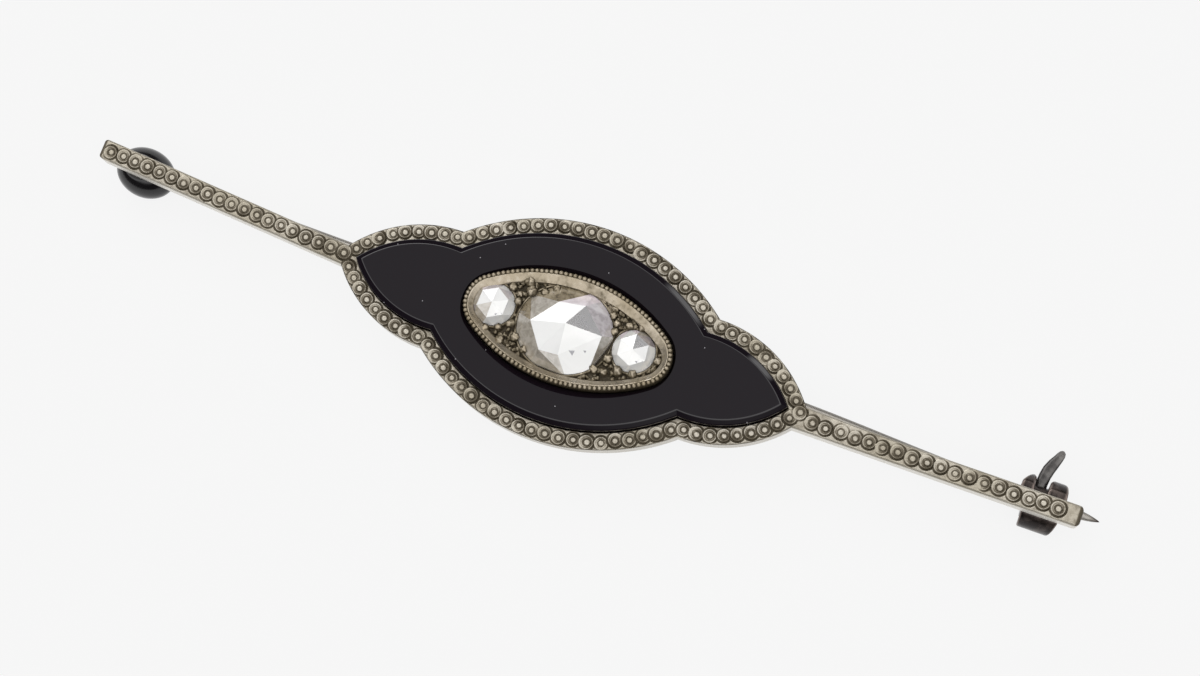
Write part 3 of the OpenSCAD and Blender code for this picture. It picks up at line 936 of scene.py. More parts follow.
        # The metal darkens towards where it meets the onyx.
        dirt = np.maximum(dirt, 0.8 * smooth(-inner, -0.09, 0.0))
        return self.height + struck - fall, dirt

    def border(self, shell: Shell, places: np.ndarray) -> None:
        """Adds the border with its back plate, in rows from the back's middle to the floor's middle.

        Args:
            shell: Where it goes.
            places: The rings.
        """
        out, inn, foot = self.border_out, -self.border_in, self.foot_r
        shoulder = self.height - self.shoulder
        outer_wall = ((out - foot, 0.0), (out - 0.3 * foot, 0.3 * foot), (out, foot), (out, shoulder))
        inner_wall = ((inn, shoulder), (inn, 1.0), (inn, self.plate))
        # The rows of the top face lie closer together where its edges are rounded.
        near_out, near_in = (0.565, 0.55, 0.53, 0.51), (-0.52, -0.56, -0.59, -0.61, -0.63, -0.645)
        spread = np.array([*near_out, *np.linspace(0.485, -0.49, 28), *near_in])
        rows = [at_height(self.outline.chain(grow, self.step), z) for grow, z in outer_wall]
        back = rows[0]
        rows = [back * [share, share, 1] for share in (0.5, 0.97)] + rows
        # The outer wall gets pale, less metallic metal: partly wear, partly a painted highlight.
        smut = [0.1, 0.1, *[-0.5] * len(outer_wall)]
        xy = np.stack([self.outline.chain(grow, self.step) for grow in spread])
        z, dirt = self.relief(xy, np.broadcast_to((spread - inn)[:, None], xy.shape[:2]), places)
        rows += list(at_height(xy, z))
        rows += [at_height(self.outline.chain(grow, self.step), z) for grow, z in inner_wall]
        rows.append(rows[-1] * [0.5, 0.5, 1])
        level = [np.full(len(back), one) for one in smut]
        floor = [np.full(len(back), 0.9)] * (len(inner_wall) + 1)
        shell.grid(np.array(rows), np.array([*level, *dirt, *floor]), cap_first=True, cap_last=True)

    def arm_lines(self, side: int, across: np.ndarray) -> tuple[np.ndarray, np.ndarray]:
        """Lines along one arm, from inside the border's point to its end.

        Args:
            side: 1 for the right arm, -1 for the left.
            across: Sideways places of the lines on the arm.

        Returns:
            Distances of their points from the panel's middle, and how far each is into the rounded end.
        """
        line, corner, reach = self.outline, self.arm_end_r, self.arm_reach
        middle = self.arm_y(np.array([side * line.cusp()]))[0]
        off_axis = np.abs(across + middle) + line.lobe_y
        root = line.lobe_x + np.sqrt((line.lobe_r + self.border_out) ** 2 - off_axis ** 2)[:, None]
        plain = np.linspace(0, 1, int((reach - corner - root.min()) / self.step))
        round_end = reach - corner * np.array([0.8, 0.6, 0.45, 0.3, 0.2, 0.12, 0.06, 0.02, 0.0])
        x = np.concatenate([root - self.dive, root + (reach - corner - root) * plain,
                            np.tile(round_end, (len(across), 1))], 1)
        return x, np.maximum(corner - (reach - x), 0)

    def arm(self, shell: Shell, places: np.ndarray, side: int) -> None:
        """Adds one arm.

        Args:
            shell: Where it goes.
            places: The rings.
            side: 1 for the right arm, -1 for the left.
        """
        half, corner = self.arm_w / 2, self.arm_end_r
        edge, inset = np.array([0.0, 0.012, 0.035, 0.07, 0.11]), 0.15
        flat = np.linspace(inset - half, half - inset, 30)
        across = np.concatenate([edge - half, flat, (half - edge)[::-1]])
        x, rounded = self.arm_lines(side, across)
        drop = corner - np.sqrt(np.maximum(corner ** 2 - rounded ** 2, 0))
        wide = np.where(across[:, None] > 0, self.arm_half(side * x), half)
        y = self.arm_y(side * x) + across[:, None] / half * (wide - drop)
        xy = np.stack([side * x, y], -1)
        z, dirt = self.relief(xy, np.ones(x.shape), places)
        z -= self.end_fall * drop
        # The first points of each line lie below the border's surface.
        z[:, :2] -= 0.08 + 0.5 * np.array(self.dive)
        # Painted shade: the rounded end of each arm is darkened where it curves down.
        dirt = np.maximum(dirt, 0.95 * smooth(rounded, 0.0, 0.5 * corner))
        top = at_height(xy, z)
        levels = (1.2, 0.6, 0.1, 0.0)
        walls = [self.wall_row(top[-1], level) for level in levels]
        walls += [self.wall_row(top[0], level) for level in levels[::-1]]
        loop = np.array([*top, *walls]).transpose(1, 0, 2)
        # The side walls get pale, less metallic metal: partly wear, partly a painted highlight.
        smut = np.array([*dirt, *[np.full(x.shape[1], self.pale_side_wear_and_highlight)] * len(walls)]).T
        if side > 0:
            loop, smut = loop[:, ::-1], smut[:, ::-1]
        shell.grid(loop[::-1], smut[::-1], cap_first=True, cap_last=True)

    @staticmethod
    def wall_row(edge: np.ndarray, level: float) -> np.ndarray:
        """One line along an arm's side wall, straight below its top edge or just under it."""
        return at_height(edge[:, :2], np.minimum(level, edge[:, 2] - 0.02))

    def build(self, place: Placement) -> list[bpy.types.Object]:
        """Makes the border and the two arms in place of the plain frame.

        Args:
            place: Where the panel's plane lies in the frame.

        Returns:
            The three pieces.
        """
        places = self.ring_places()
        border, left, right = Shell(), Shell(), Shell()
        self.border(border, places)
        self.arm(left, places, -1)
        self.arm(right, places, 1)
        silver = Metal.MILLED.value.build()
        named = (("milled_border", border), ("left_arm", left), ("right_arm", right))
        return [shell.to_object(name, place, silver, crease_deg=75) for name, shell in named]


@dataclass(frozen=True)
class OvalOutline:
    """The four-arc oval of the setting."""

    half_length: float = 7.78
    half_width: float = 3.95
    end_r: float = 2.21

    def path(self, count: int) -> tuple[np.ndarray, np.ndarray]:
        """Evenly spaced points round the oval.

        Args:
            count: How many.

        Returns:
            The points, anticlockwise from the right end, and their outward normals.
        """
        end_x = self.half_length - self.end_r
        b = self.half_width
        drop = (end_x ** 2 - b ** 2 + 2 * b * self.end_r - self.end_r ** 2) / (2 * (b - self.end_r))
        side_r = b + drop
        split = math.atan2(drop, end_x)
        end_len, side_len = self.end_r * split, side_r * (math.pi / 2 - split)
        total = 4 * (end_len + side_len)
        at = np.arange(count) / count * total
        folded = at % (total / 2)
        mirrored = folded > total / 4
        folded = np.where(mirrored, total / 2 - folded, folded)
        on_end = folded <= end_len
        angle = np.where(on_end, folded / self.end_r, split + (folded - end_len) / side_r)
        normal = ways(angle)
        points = np.where(on_end[:, None], self.end_r * normal + [end_x, 0], side_r * normal - [0, drop])
        flip = np.where(mirrored, -1, 1)[:, None] * [1, 0] + [0, 1]
        points, normal = points * flip, normal * flip
        half = np.where(at >= total / 2, -1, 1)[:, None]
        return points * half, normal * half

    def by_angle(self, xy: np.ndarray, grow: float) -> np.ndarray:
        """Finds the points of the grown oval that lie in given directions from the middle.

        Args:
            xy: Places that give the directions.
            grow: How far the oval is grown.

        Returns:
            Rows of x and y.
        """
        points, normal = self.path(4000)
        ring = points + grow * normal
        angle = np.arctan2(ring[:, 1], ring[:, 0])
        order = np.argsort(angle)
        wanted = np.arctan2(xy[:, 1], xy[:, 0])
        radius = np.interp(wanted, angle[order], np.hypot(*ring.T)[order], period=2 * math.pi)
        return radius[:, None] * ways(wanted)


@dataclass
class OnyxPlaque:
    """Bevelled black plaque with an oval window."""

    outline: PanelOutline
    oval: OvalOutline
    fit: float = -0.7
    floor: float = 0.43
    top: float = 2.3
    bevel_w: float = 0.38
    bevel_h: float = 0.27
    window: float = 0.12
    window_rim: float = 0.42
    chamfer_h: float = 0.24
    span: float = 0.3
    arris: float = 0.03
    step: float = 0.12

    def edge_rows(self) -> list[np.ndarray]:
        """Lays out the rows from the wall's foot, over the bevel, to the flat top.

        Returns:
            A distance outwards from the ring line and a height for each row.
        """
        a, fit, top = self.arris, self.fit, self.top
        foot = np.array([fit, top - self.bevel_h])
        head = np.array([fit - self.bevel_w, top])
        up, inwards = np.array([0.0, 1.0]), np.array([-1.0, 0.0])
        slope = (head - foot) / np.linalg.norm(head - foot)
        base = [np.array([fit - 0.1, self.floor]), np.array([fit, self.floor + 0.1])]
        lower = [foot - 8 * a * up, foot - a * up, foot + a / 4 * (slope - up)]
        face = [foot + a * slope, foot + 3 * a * slope, head - 3 * a * slope, head - a * slope]
        upper = [head + a / 4 * (inwards - slope), head + a * inwards, head + 4 * a * inwards]
        return [*base, *lower, *face, *upper]

    def build(self, place: Placement) -> bpy.types.Object:
        """Makes the plaque in place of the plain one.

        Args:
            place: Where the panel's plane lies in the frame.

        Returns:
            The plaque.
        """
        rings = [at_height(self.outline.chain(grow, self.step), z) for grow, z in self.edge_rows()]
        edge = rings[-1][:, :2]
        rim = self.oval.by_angle(edge, self.window + self.window_rim)
        rings += [at_height(edge + (rim - edge) * share, self.top) for share in (0.3, 0.7, 1.0)]
        across = rim[:, 1:] / self.oval.half_width
        # The chamfer is narrow at the window's ends and widest along its lower side.
        chamfer = 0.1 + 0.2 * np.abs(across) ** 1.5 - 0.08 * across
        wall = self.oval.by_angle(edge, self.window)
        outwards = (self.oval.by_angle(edge, self.window + self.span) - wall) / self.span * chamfer
        inner_wall = ((0.0, self.chamfer_h), (0.0, 0.5), (0.0, self.top - self.floor))
        for share, down in ((1.0, 0.0), (0.1, 0.2), *inner_wall):
            rings.append(at_height(wall + outwards * share, self.top - down))
        shell = Shell()
        shell.grid(np.array([*rings, rings[0]]))
        return shell.to_object("onyx", place, PolishedOnyx().build(), crease_deg=20)


class Grain(NamedTuple):
    """A grain of silver raised beside the stones: its middle and its radius."""

    x: float
    y: float
    r: float


class Corner(NamedTuple):
    """A corner of a stone's star: shares of the half length, the half width and the height."""

    x: float
    y: float
    rise: float


@dataclass(frozen=True)
class RoseCut:
    """Rose-cut stone over leaf: flat base, low wall and a crown of star and corner facets round an apex."""

    node: str
    x: float
    y: float
    a: float
    b: float
    height: float
    star: tuple[Corner, ...]
    facets: tuple[str, ...]
    point: tuple[float, float] = (0.0, 0.0)
    turn_deg: float = 0.0
    rim_deg: tuple[float, ...] = tuple(range(0, 360, 30))
    base: float = 1.8
    wall: float = 0.36
    spare: float = 1.045
    sides: int = 36

    def rough(self) -> bmesh.types.BMesh:
        """Makes the facets, a little too wide all round, about the stone's own middle.

        Returns:
            The stone before its girdle is cut, with the kind of each facet.
        """
        made = bmesh.new()
        a, b, wall = self.a * self.spare, self.b * self.spare, self.wall
        count = len(self.star)
        rim = [(a * math.cos(math.radians(t)), b * math.sin(math.radians(t))) for t in self.rim_deg]
        low = [made.verts.new((x, y, 0)) for x, y in rim]
        up = [made.verts.new((x, y, wall)) for x, y in rim]
        star = [made.verts.new((a * x, b * y, wall + rise * self.height)) for x, y, rise in self.star]
        apex = made.verts.new((a * self.point[0], b * self.point[1], wall + self.height))
        made.faces.new(low[::-1])
        for i in range(2 * count):
            made.faces.new((low[i - 1], low[i], up[i], up[i - 1]))
        letters = list(Facet.__members__)
        for i in range(count):
            here, after = star[i], star[(i + 1) % count]
            left, middle, right = up[2 * i - 1], up[2 * i], up[2 * i + 1]
            corners = ((here, left, middle), (here, middle, right), (here, right, after),
                       (apex, here, after))
            for letter, corner in zip(self.facets[i], corners):
                made.faces.new(corner).material_index = letters.index(letter)
        return made

    def girdle(self, made: bmesh.types.BMesh) -> None:
        """Cuts the girdle to an ellipse with flat sides, and closes each cut.

        Args:
            made: The stone, which is changed.
        """
        for i in range(self.sides):
            turn = 2 * math.pi * (i + 0.5) / self.sides
            out = Vector((math.cos(turn) / self.a, math.sin(turn) / self.b, 0)).normalized()
            on_edge = Vector((self.a * math.cos(turn), self.b * math.sin(turn), 0))
            geometry = [*made.verts, *made.edges, *made.faces]
            cut = bmesh.ops.bisect_plane(made, geom=geometry, plane_co=on_edge, plane_no=out,
                                         clear_outer=True)
            edges = [e for e in cut["geom_cut"] if isinstance(e, bmesh.types.BMEdge)]
            if edges:
                bmesh.ops.contextual_create(made, geom=edges)

    def build(self, place: Placement, finishes: list[bpy.types.Material]) -> bpy.types.Object:
        """Makes the stone in place of the plain one.

        Args:
            place: Where the panel's plane lies in the frame.
            finishes: The kinds of facets, in their order, and the leaf.

        Returns:
            The stone, in its cup of leaf.
        """
        made = self.rough()
        self.girdle(made)
        spin = Matrix.Rotation(math.radians(self.turn_deg), 4, "Z")
        bmesh.ops.transform(made, matrix=spin, verts=made.verts)
        bmesh.ops.recalc_face_normals(made, faces=made.faces)
        at = place.to_metres(np.array([self.x, self.y, self.base]))
        for face in made.faces:
            if face.normal.z < 0.1:
                face.material_index = len(finishes) - 1
            face.smooth = False
        for vert in made.verts:
            vert.co = vert.co * MM + Vector(at)
        mesh = bpy.data.meshes.new(self.node + "_cut")
        made.to_mesh(mesh)
        made.free()
        for finish in finishes:
            mesh.materials.append(finish)
        stone = bpy.data.objects.new(self.node + "_cut", mesh)
        bpy.context.scene.collection.objects.link(stone)
        log.info("%s: %d facets", self.node, len(mesh.polygons))
        return stone


def side_star(radius: float = 0.72, first_deg: float = 8.0, rise: float = 0.74) -> tuple[Corner, ...]:
    """Star corners of a small round stone."""
    turns = [math.radians(first_deg + 60 * i) for i in range(6)]
    return tuple(Corner(radius * math.cos(t), radius * math.sin(t), rise) for t in turns)


@dataclass
class CentreSetting:
    """Oval collet with millegrain, a bright-cut band, a carved bed, raised grains and three stones."""

    oval: OvalOutline
    floor: float = 0.43
    rim: float = 2.72
    rim_w: float = 0.33
    bed: float = 2.22
    seat_depth: float = 0.45
    seat_w: float = 0.12
    band_in: float = 0.72
    band_extra: float = 0.24
    band_fall: float = 0.55
    carved: float = -0.2
    gouges: Bumps = Bumps(0.1, 0.42, 1.7)
    nicks: Bumps = Bumps(0.06, 0.17, 5.2)
    film: float = 0.14
    clouds: Bumps = Bumps(0.36, 0.9, 8.1)
    spots: Bumps = Bumps(0.32, 0.25, 3.3)
    engraved_deg: tuple[float, ...] = (28, 42, 92, 108)
    line_apart: float = 0.2
    lip_room: float = 0.21
    beads: int = 107
    bead_in: float = 0.16
    bead_seed: int = 3
    pebbles: int = 85
    pebble_tries: int = 40
    grain_seed: int = 11
    stones: tuple[RoseCut, ...] = (
        RoseCut("centre_diamond", -0.2, -0.05, 3.48, 3.15, 1.3,
                (Corner(0.77, 0.09, 0.74), Corner(0.27, 0.6, 0.74), Corner(-0.25, 0.5, 0.74),
                 Corner(-0.66, -0.08, 0.74), Corner(-0.3, -0.63, 0.74), Corner(0.08, -0.59, 0.58)),
                ("FVVW", "VRRS", "BBFS", "BFFS", "FFFS", "LLLL"), (0.03, 0.09),
                rim_deg=(12, 35, 60, 74, 112, 150, 178, 210, 245, 289, 302, 316)),
        RoseCut("left_diamond", -5.67, 0.03, 1.54, 1.54, 0.85, side_star(),
                ("LLVS", "LVVV", "RFFS", "FDFF", "FLLL", "LLLL"), turn_deg=20),
        RoseCut("right_diamond", 4.95, 0.11, 1.54, 1.54, 0.85, side_star(),
                ("LDDW", "FRLS", "RLLL", "LLLL", "LLLL", "LLLS"), turn_deg=28),
    )
    grains: tuple[Grain, ...] = (
        Grain(-3.73, 2.42, 0.36), Grain(-4.75, 1.64, 0.28), Grain(-3.38, 1.79, 0.35),
        Grain(-4.12, 1.33, 0.22), Grain(-4.04, 0.77, 0.25), Grain(-2.46, 2.05, 0.28),
        Grain(-1.75, 2.55, 0.26), Grain(-5.62, -1.83, 0.29), Grain(-4.28, -2.28, 0.3),
        Grain(-3.34, -1.71, 0.3), Grain(-4.01, -0.92, 0.29), Grain(-2.44, -2.34, 0.27),
        Grain(-4.73, -1.46, 0.24), Grain(2.75, 2.05, 0.25), Grain(2.7, 2.55, 0.24),
        Grain(3.17, 1.58, 0.24), Grain(3.2, 0.98, 0.24), Grain(4.06, 1.72, 0.25),
        Grain(4.96, 1.84, 0.25), Grain(3.43, -1.0, 0.29), Grain(2.75, -2.05, 0.29),
        Grain(3.48, -2.0, 0.26), Grain(4.38, -1.62, 0.33), Grain(5.43, -1.45, 0.29),
        Grain(6.8, -0.02, 0.25),
    )

    def stone_gaps(self, xy: np.ndarray) -> np.ndarray:
        """Distance from each stone's edge, negative inside it, with the stones along the first axis."""
        return np.array([(np.hypot((xy[..., 0] - s.x) / s.a, (xy[..., 1] - s.y) / s.b) - 1) * (s.a + s.b) / 2
                         for s in self.stones])

    def bed_surface(self, xy: np.ndarray, from_edge: np.ndarray) -> tuple[np.ndarray, np.ndarray]:
        """Heights and dirt of the carved bed.

        Args:
            xy: Places of the points.
            from_edge: Their distances from the bright-cut band.

        Returns:
            Heights above the frame's back, and dirt from 0 to 1.
        """
        near = self.stone_gaps(xy).min(0)
        carved = self.carved + self.gouges.at(xy) + self.nicks.at(xy)
        heart = self.stones[0]
        angle = np.degrees(np.arctan2(xy[..., 1] - heart.y, xy[..., 0] - heart.x))
        start, full, fades, end = self.engraved_deg
        engraved = smooth(angle, start, full) * (1 - smooth(angle, fades, end))
        engraved *= 1 - smooth(near, 0.55, 0.7)
        # Engraved lines follow the edges of the stones, in some directions from the centre stone.
        lines = 0.5 - 0.5 * np.cos(2 * math.pi * (near - 0.06) / self.line_apart)
        z = carved * (1 - engraved) + (-0.09 + 0.1 * lines) * engraved
        z = z * (1 - smooth(-from_edge, -0.13, 0.0))
        seat = near < self.seat_w
        dirt = np.where(seat, 1.0, smooth(-z, 0.0, 0.17))
        return self.bed + np.where(seat, -self.seat_depth, z), dirt

    def collet(self, shell: Shell) -> None:
        """Adds the collet's wall, band and bed.

        Args:
            shell: Where it goes.
        """
        points, normal = self.oval.path(760)
        rim, wide, drop = self.rim, self.rim_w, self.rim - self.bed
        inner = self.band_in + self.band_extra * np.clip(normal[:, 1:], 0, 1) ** 2
        floor, top = self.floor, rim - 0.02
        wall = [(0.2, floor, 1.0), (0.02, floor, 1.0), (0.0, floor + 0.1, 1.0), (0.0, 1.6, 1.0)]
        ledge = [(0.0, rim - 0.24, 1.0), (0.01, rim - 0.18, 0.9), (0.09, rim - 0.14, 0.8),
                 (0.2, rim - 0.13, 0.7), (0.25, rim - 0.11, 0.7), (0.28, rim - 0.05, 0.3),
                 (0.3, top, 0.05), (wide, top, 0.0)]
        band = [(wide + share * (inner - wide), top - self.band_fall * share * drop, 0.02 + 0.1 * share ** 3)
                for share in np.linspace(0.15, 1.0, 7)]
        rows, dirt = [], []
        for depth, z, smut in (*wall, *ledge, *band):
            xy = points - depth * normal
            rows.append(at_height(xy, z))
            mottle = self.film + self.clouds.at(xy) + self.spots.at(xy)
            dirt.append(np.clip(smut + mottle * (smut < 0.2), -0.4, 1))
        edge = points - inner * normal
        shares = np.concatenate([np.linspace(0.994, 0.55, 84), np.linspace(0.53, 0.2, 12), [0.1, 0.03]])
        xy = edge[None] * shares[:, None, None]
        z, smut = self.bed_surface(xy, np.linalg.norm(edge[None] - xy, axis=-1))
        rows += list(at_height(xy, z))
        shell.grid(np.array(rows), np.array([*dirt, *smut]), cap_first=True, cap_last=True)

    def lip(self, shell: Shell, number: int) -> None:
        """Adds the edge of metal rubbed up against a stone, thinner where two stones nearly touch.

        Args:
            shell: Where it goes.
            number: Which of the stones.
        """
        stone = self.stones[number]
        half, middle = np.array([stone.a, stone.b]), np.array([stone.x, stone.y])
        way = ways(full_turn(240))
        rim = way * half + middle
        others = np.delete(self.stone_gaps(rim), number, 0).min(0)
        room = np.clip(np.minimum(others / 2, 0.24) - 0.03, 0.02, self.lip_room) / self.lip_room
        uneven = noise_at(rim, 0.45, 4.4 + number)
        rise = (0.035 + 0.05 * uneven) * (0.4 + 0.6 * room)
        low, bed = self.bed - self.seat_depth, self.bed
        inside = ((0.0, low, 0, 0.3), (0.0, bed - 0.12, 0, 0.4), (0.01, bed - 0.03, 1, 0.8))
        top = ((0.04, bed - 0.01, 1, 0.55), (0.08, bed - 0.01, 1, 0.45), (0.125, bed - 0.05, 1, 0.6))
        outside = ((0.17, bed - 0.12, 0, 0.8), (0.2, bed - 0.24, 0, 1.0), (0.2, low, 0, 1.0))
        rows, dirt = [], []
        for out, z, lift, smut in (*inside, *top, *outside):
            reach = 0.03 + out * room * (1 + 0.25 * uneven)
            rows.append(at_height(way * (half + reach[:, None]) + middle, z + lift * rise))
            dirt.append(np.clip(smut - 0.35 * uneven, 0, 1))
        shell.grid(np.array(rows), np.array(dirt))

    def millegrain(self, shell: Shell) -> None:
        """Adds the beads rolled along the rim, drawn out over its outer wall on the near side.

        Args:
            shell: Where they go.
        """
        points, normal = self.oval.path(self.beads)
        random = np.random.default_rng(self.bead_seed)
        for p, n in zip(points, normal):
            drawn = 0.5 + 0.5 * float(n @ (0.64, -0.77))
            size = random.uniform(0.93, 1.06)
            middle = p - (self.bead_in - 0.01 * drawn + random.uniform(-0.012, 0.012)) * n
            radii = np.array([0.175 + 0.025 * drawn, 0.18 - 0.01 * drawn, 0.17]) * size
            turn = math.atan2(n[1], n[0])
            shell.ball((*middle, self.rim - 0.1), radii, turn, sides=18, patina=1.1, bare=0.34)

    def nuggets(self, shell: Shell) -> None:
        """Adds the raised grains, and the smaller burrs that carving has left between them.

        Args:
            shell: Where they go.
        """
        random = np.random.default_rng(self.grain_seed)
        for k, g in enumerate(self.grains):
            stretch = random.uniform(0.92, 1.1)
            radii = (1.1 * g.r * stretch, 1.1 * g.r / stretch, 0.95 * g.r)
            turn = random.uniform(0, math.pi)
            shell.ball((g.x, g.y, self.bed + 0.32 * g.r), radii, turn, sides=26, patina=1.3, bare=0.25,
                       dent=0.4, seed=k * 1.9)
        taken = list(self.grains)
        edge, normal = self.oval.path(400)
        # Each burr is tried at a random place, and left out where band, grain or stone is too near.
        for k in range(self.pebble_tries * self.pebbles):
            here = random.uniform(-1, 1, 2) * [self.oval.half_length, self.oval.half_width]
            r = random.uniform(0.15, 0.27)
            nearest = np.argmin(np.hypot(*(edge - here).T))
            inside = float((edge[nearest] - here) @ normal[nearest])
            clear = all(math.hypot(here[0] - g.x, here[1] - g.y) > 0.68 * (r + g.r) for g in taken)
            if inside < self.band_in + 0.3 * r or not clear or self.stone_gaps(here).min() < 0.14 + 0.45 * r:
                continue
            if len(taken) >= self.pebbles:
                break
            taken.append(Grain(here[0], here[1], r))
            stretch = random.uniform(1.0, 1.35)
            middle = (*here, self.bed - 0.12 + random.uniform(-0.07, 0.05))
            turn = random.uniform(0, math.pi)
            shell.ball(middle, (r * stretch, r / stretch, r), turn, sides=20, patina=1.3, bare=0.5, dent=0.6,
                       seed=k * 0.7)

    def build(self, place: Placement) -> dict[str, list[bpy.types.Object]]:
        """Makes the setting's pieces and its stones.

        Args:
            place: Where the panel's plane lies in the frame.

        Returns:
            The pieces, by the construction piece that they replace.
        """
        silver = Metal.CUT.value.build()
        facets = [*[kind.value.build() for kind in Facet], SilverFoil().build()]
        collet, beads, grains = Shell(), Shell(), Shell()
        self.collet(collet)
        for number in range(len(self.stones)):
            self.lip(collet, number)
        self.millegrain(beads)
        self.nuggets(grains)
        made = {stone.node: [stone.build(place, facets)] for stone in self.stones}
        made["centre_setting"] = [collet.to_object("collet", place, silver, crease_deg=60),
                                  beads.to_object("millegrain", place, silver, crease_deg=80),
                                  grains.to_object("raised_grains", place, silver, crease_deg=80)]
        return made


@dataclass(frozen=True)
class Knuckle:
    """Egg-shaped knuckle of the hinge, slotted for the head of the pin, with its riveted ends."""

    x: float = -35.0
    y: float = 1.41
    z: float = -1.6
    half_l: float = 2.3
    half_w: float = 1.85
    turn: float = math.radians(-8)
    top: float = 1.57
    stand: float = -1.5
    slot_half: float = 0.5
    slot_r: float = 1.3
    slot_side: float = 0.6
    rivet_r: float = 0.3
    rivet_head: tuple[tuple[float, float], ...] = ((0.1, 0.0), (0.25, 0.03), (0.34, 0.1), (0.3, 0.14))

    def section(self, y: float) -> tuple[float, float, float]:
        """Slices the egg at a sideways distance from the hinge.

        Args:
            y: The distance, towards the far side.

        Returns:
            The middle, half length and half height of the slice.
        """
        c, s = math.cos(self.turn), math.sin(self.turn)
        p, q = self.half_l ** -2, self.half_w ** -2
        square, line, rest = c * c * p + s * s * q, 2 * y * c * s * (p - q), y * y * (s * s * p + c * c * q)
        left = max(1 - rest + line * line / (4 * square), 0.0)
        return -line / (2 * square), math.sqrt(left / square), self.half_w * math.sqrt(left)

    def outline(self, y: float, turn: np.ndarray) -> np.ndarray:
        """Points of the slice at y, flat where it is soldered and where it stands."""
        middle, a, h = self.section(y)
        z = np.clip(h * np.sin(turn), self.stand, self.top)
        return self.upright(middle + a * np.cos(turn), y, z)

    def upright(self, x: np.ndarray, y: float, z: np.ndarray) -> np.ndarray:
        """Points of an upright slice at y, counted from the hinge."""
        return np.column_stack([x, np.full(len(x), y), z]) + [self.x, self.y, self.z]

    def slotted(self, y: float) -> np.ndarray:
        """Slices the middle of the knuckle, with the slot cut into it, open towards the pin.

        Args:
            y: Its distance from the hinge's middle.

        Returns:
            Points once round it.
        """
        middle, a, h = self.section(y)
        first, last = math.asin(self.slot_side / h), math.pi + math.acos((self.slot_side + middle) / a)
        outer = self.outline(y, np.linspace(first, last, 90))
        side = self.slot_side / self.slot_r
        at = np.linspace(math.asin(side), math.pi + math.acos(side), 60)
        inner = self.upright(self.slot_r * np.cos(at), y, self.slot_r * np.sin(at))
        return np.concatenate([outer, inner[::-1]])

    def rivet(self) -> np.ndarray:
        """Shapes the rivet from one hammered end to the other.

        Returns:
            Rows of points.
        """
        turn, end = full_turn(48), self.half_w
        first = [(r, inwards - end) for r, inwards in self.rivet_head]
        last = [(r, end - inwards) for r, inwards in self.rivet_head[::-1]]
        return np.array([self.upright(r * np.cos(turn), y, r * np.sin(turn))
                         for r, y in (*first, (self.rivet_r, 0), *last)])

    def build(self, place: Placement) -> dict[str, list[bpy.types.Object]]:
        """Makes the knuckle and its rivet.

        Args:
            place: Where the panel's plane lies in the frame.

        Returns:
            The pieces, by the construction piece that they replace.
        """
        body, rivet = Shell(), Shell()
        c, s = math.cos(self.turn), math.sin(self.turn)
        reach = math.hypot(self.half_l * s, self.half_w * c) - 1e-4
        around = full_turn(128)
        steps = reach * np.sin(np.linspace(math.asin(self.slot_half / reach), math.pi / 2, 40))
        far = np.array([self.outline(y, around) for y in steps])
        near = np.array([self.outline(-y, around) for y in steps])
        body.grid(far[::-1], cap_first=True, cap_last=True)
        body.grid(near, cap_first=True, cap_last=True)
        body.grid(np.array([self.slotted(y) for y in np.linspace(self.slot_half, -self.slot_half, 9)])[::-1])
        rivet.grid(self.rivet()[::-1], cap_first=True, cap_last=True)
        metal = Metal.KNUCKLE.value.build()
        return {"hinge_knuckle": [body.to_object("knuckle", place, metal, crease_deg=30)],
                "hinge_rivet": [rivet.to_object("rivet", place, metal, crease_deg=50)]}


class Side(NamedTuple):
    """Where the two sides of a bent bar lie along the catch, at one angle round it."""

    angle_deg: float
    left: float
    right: float


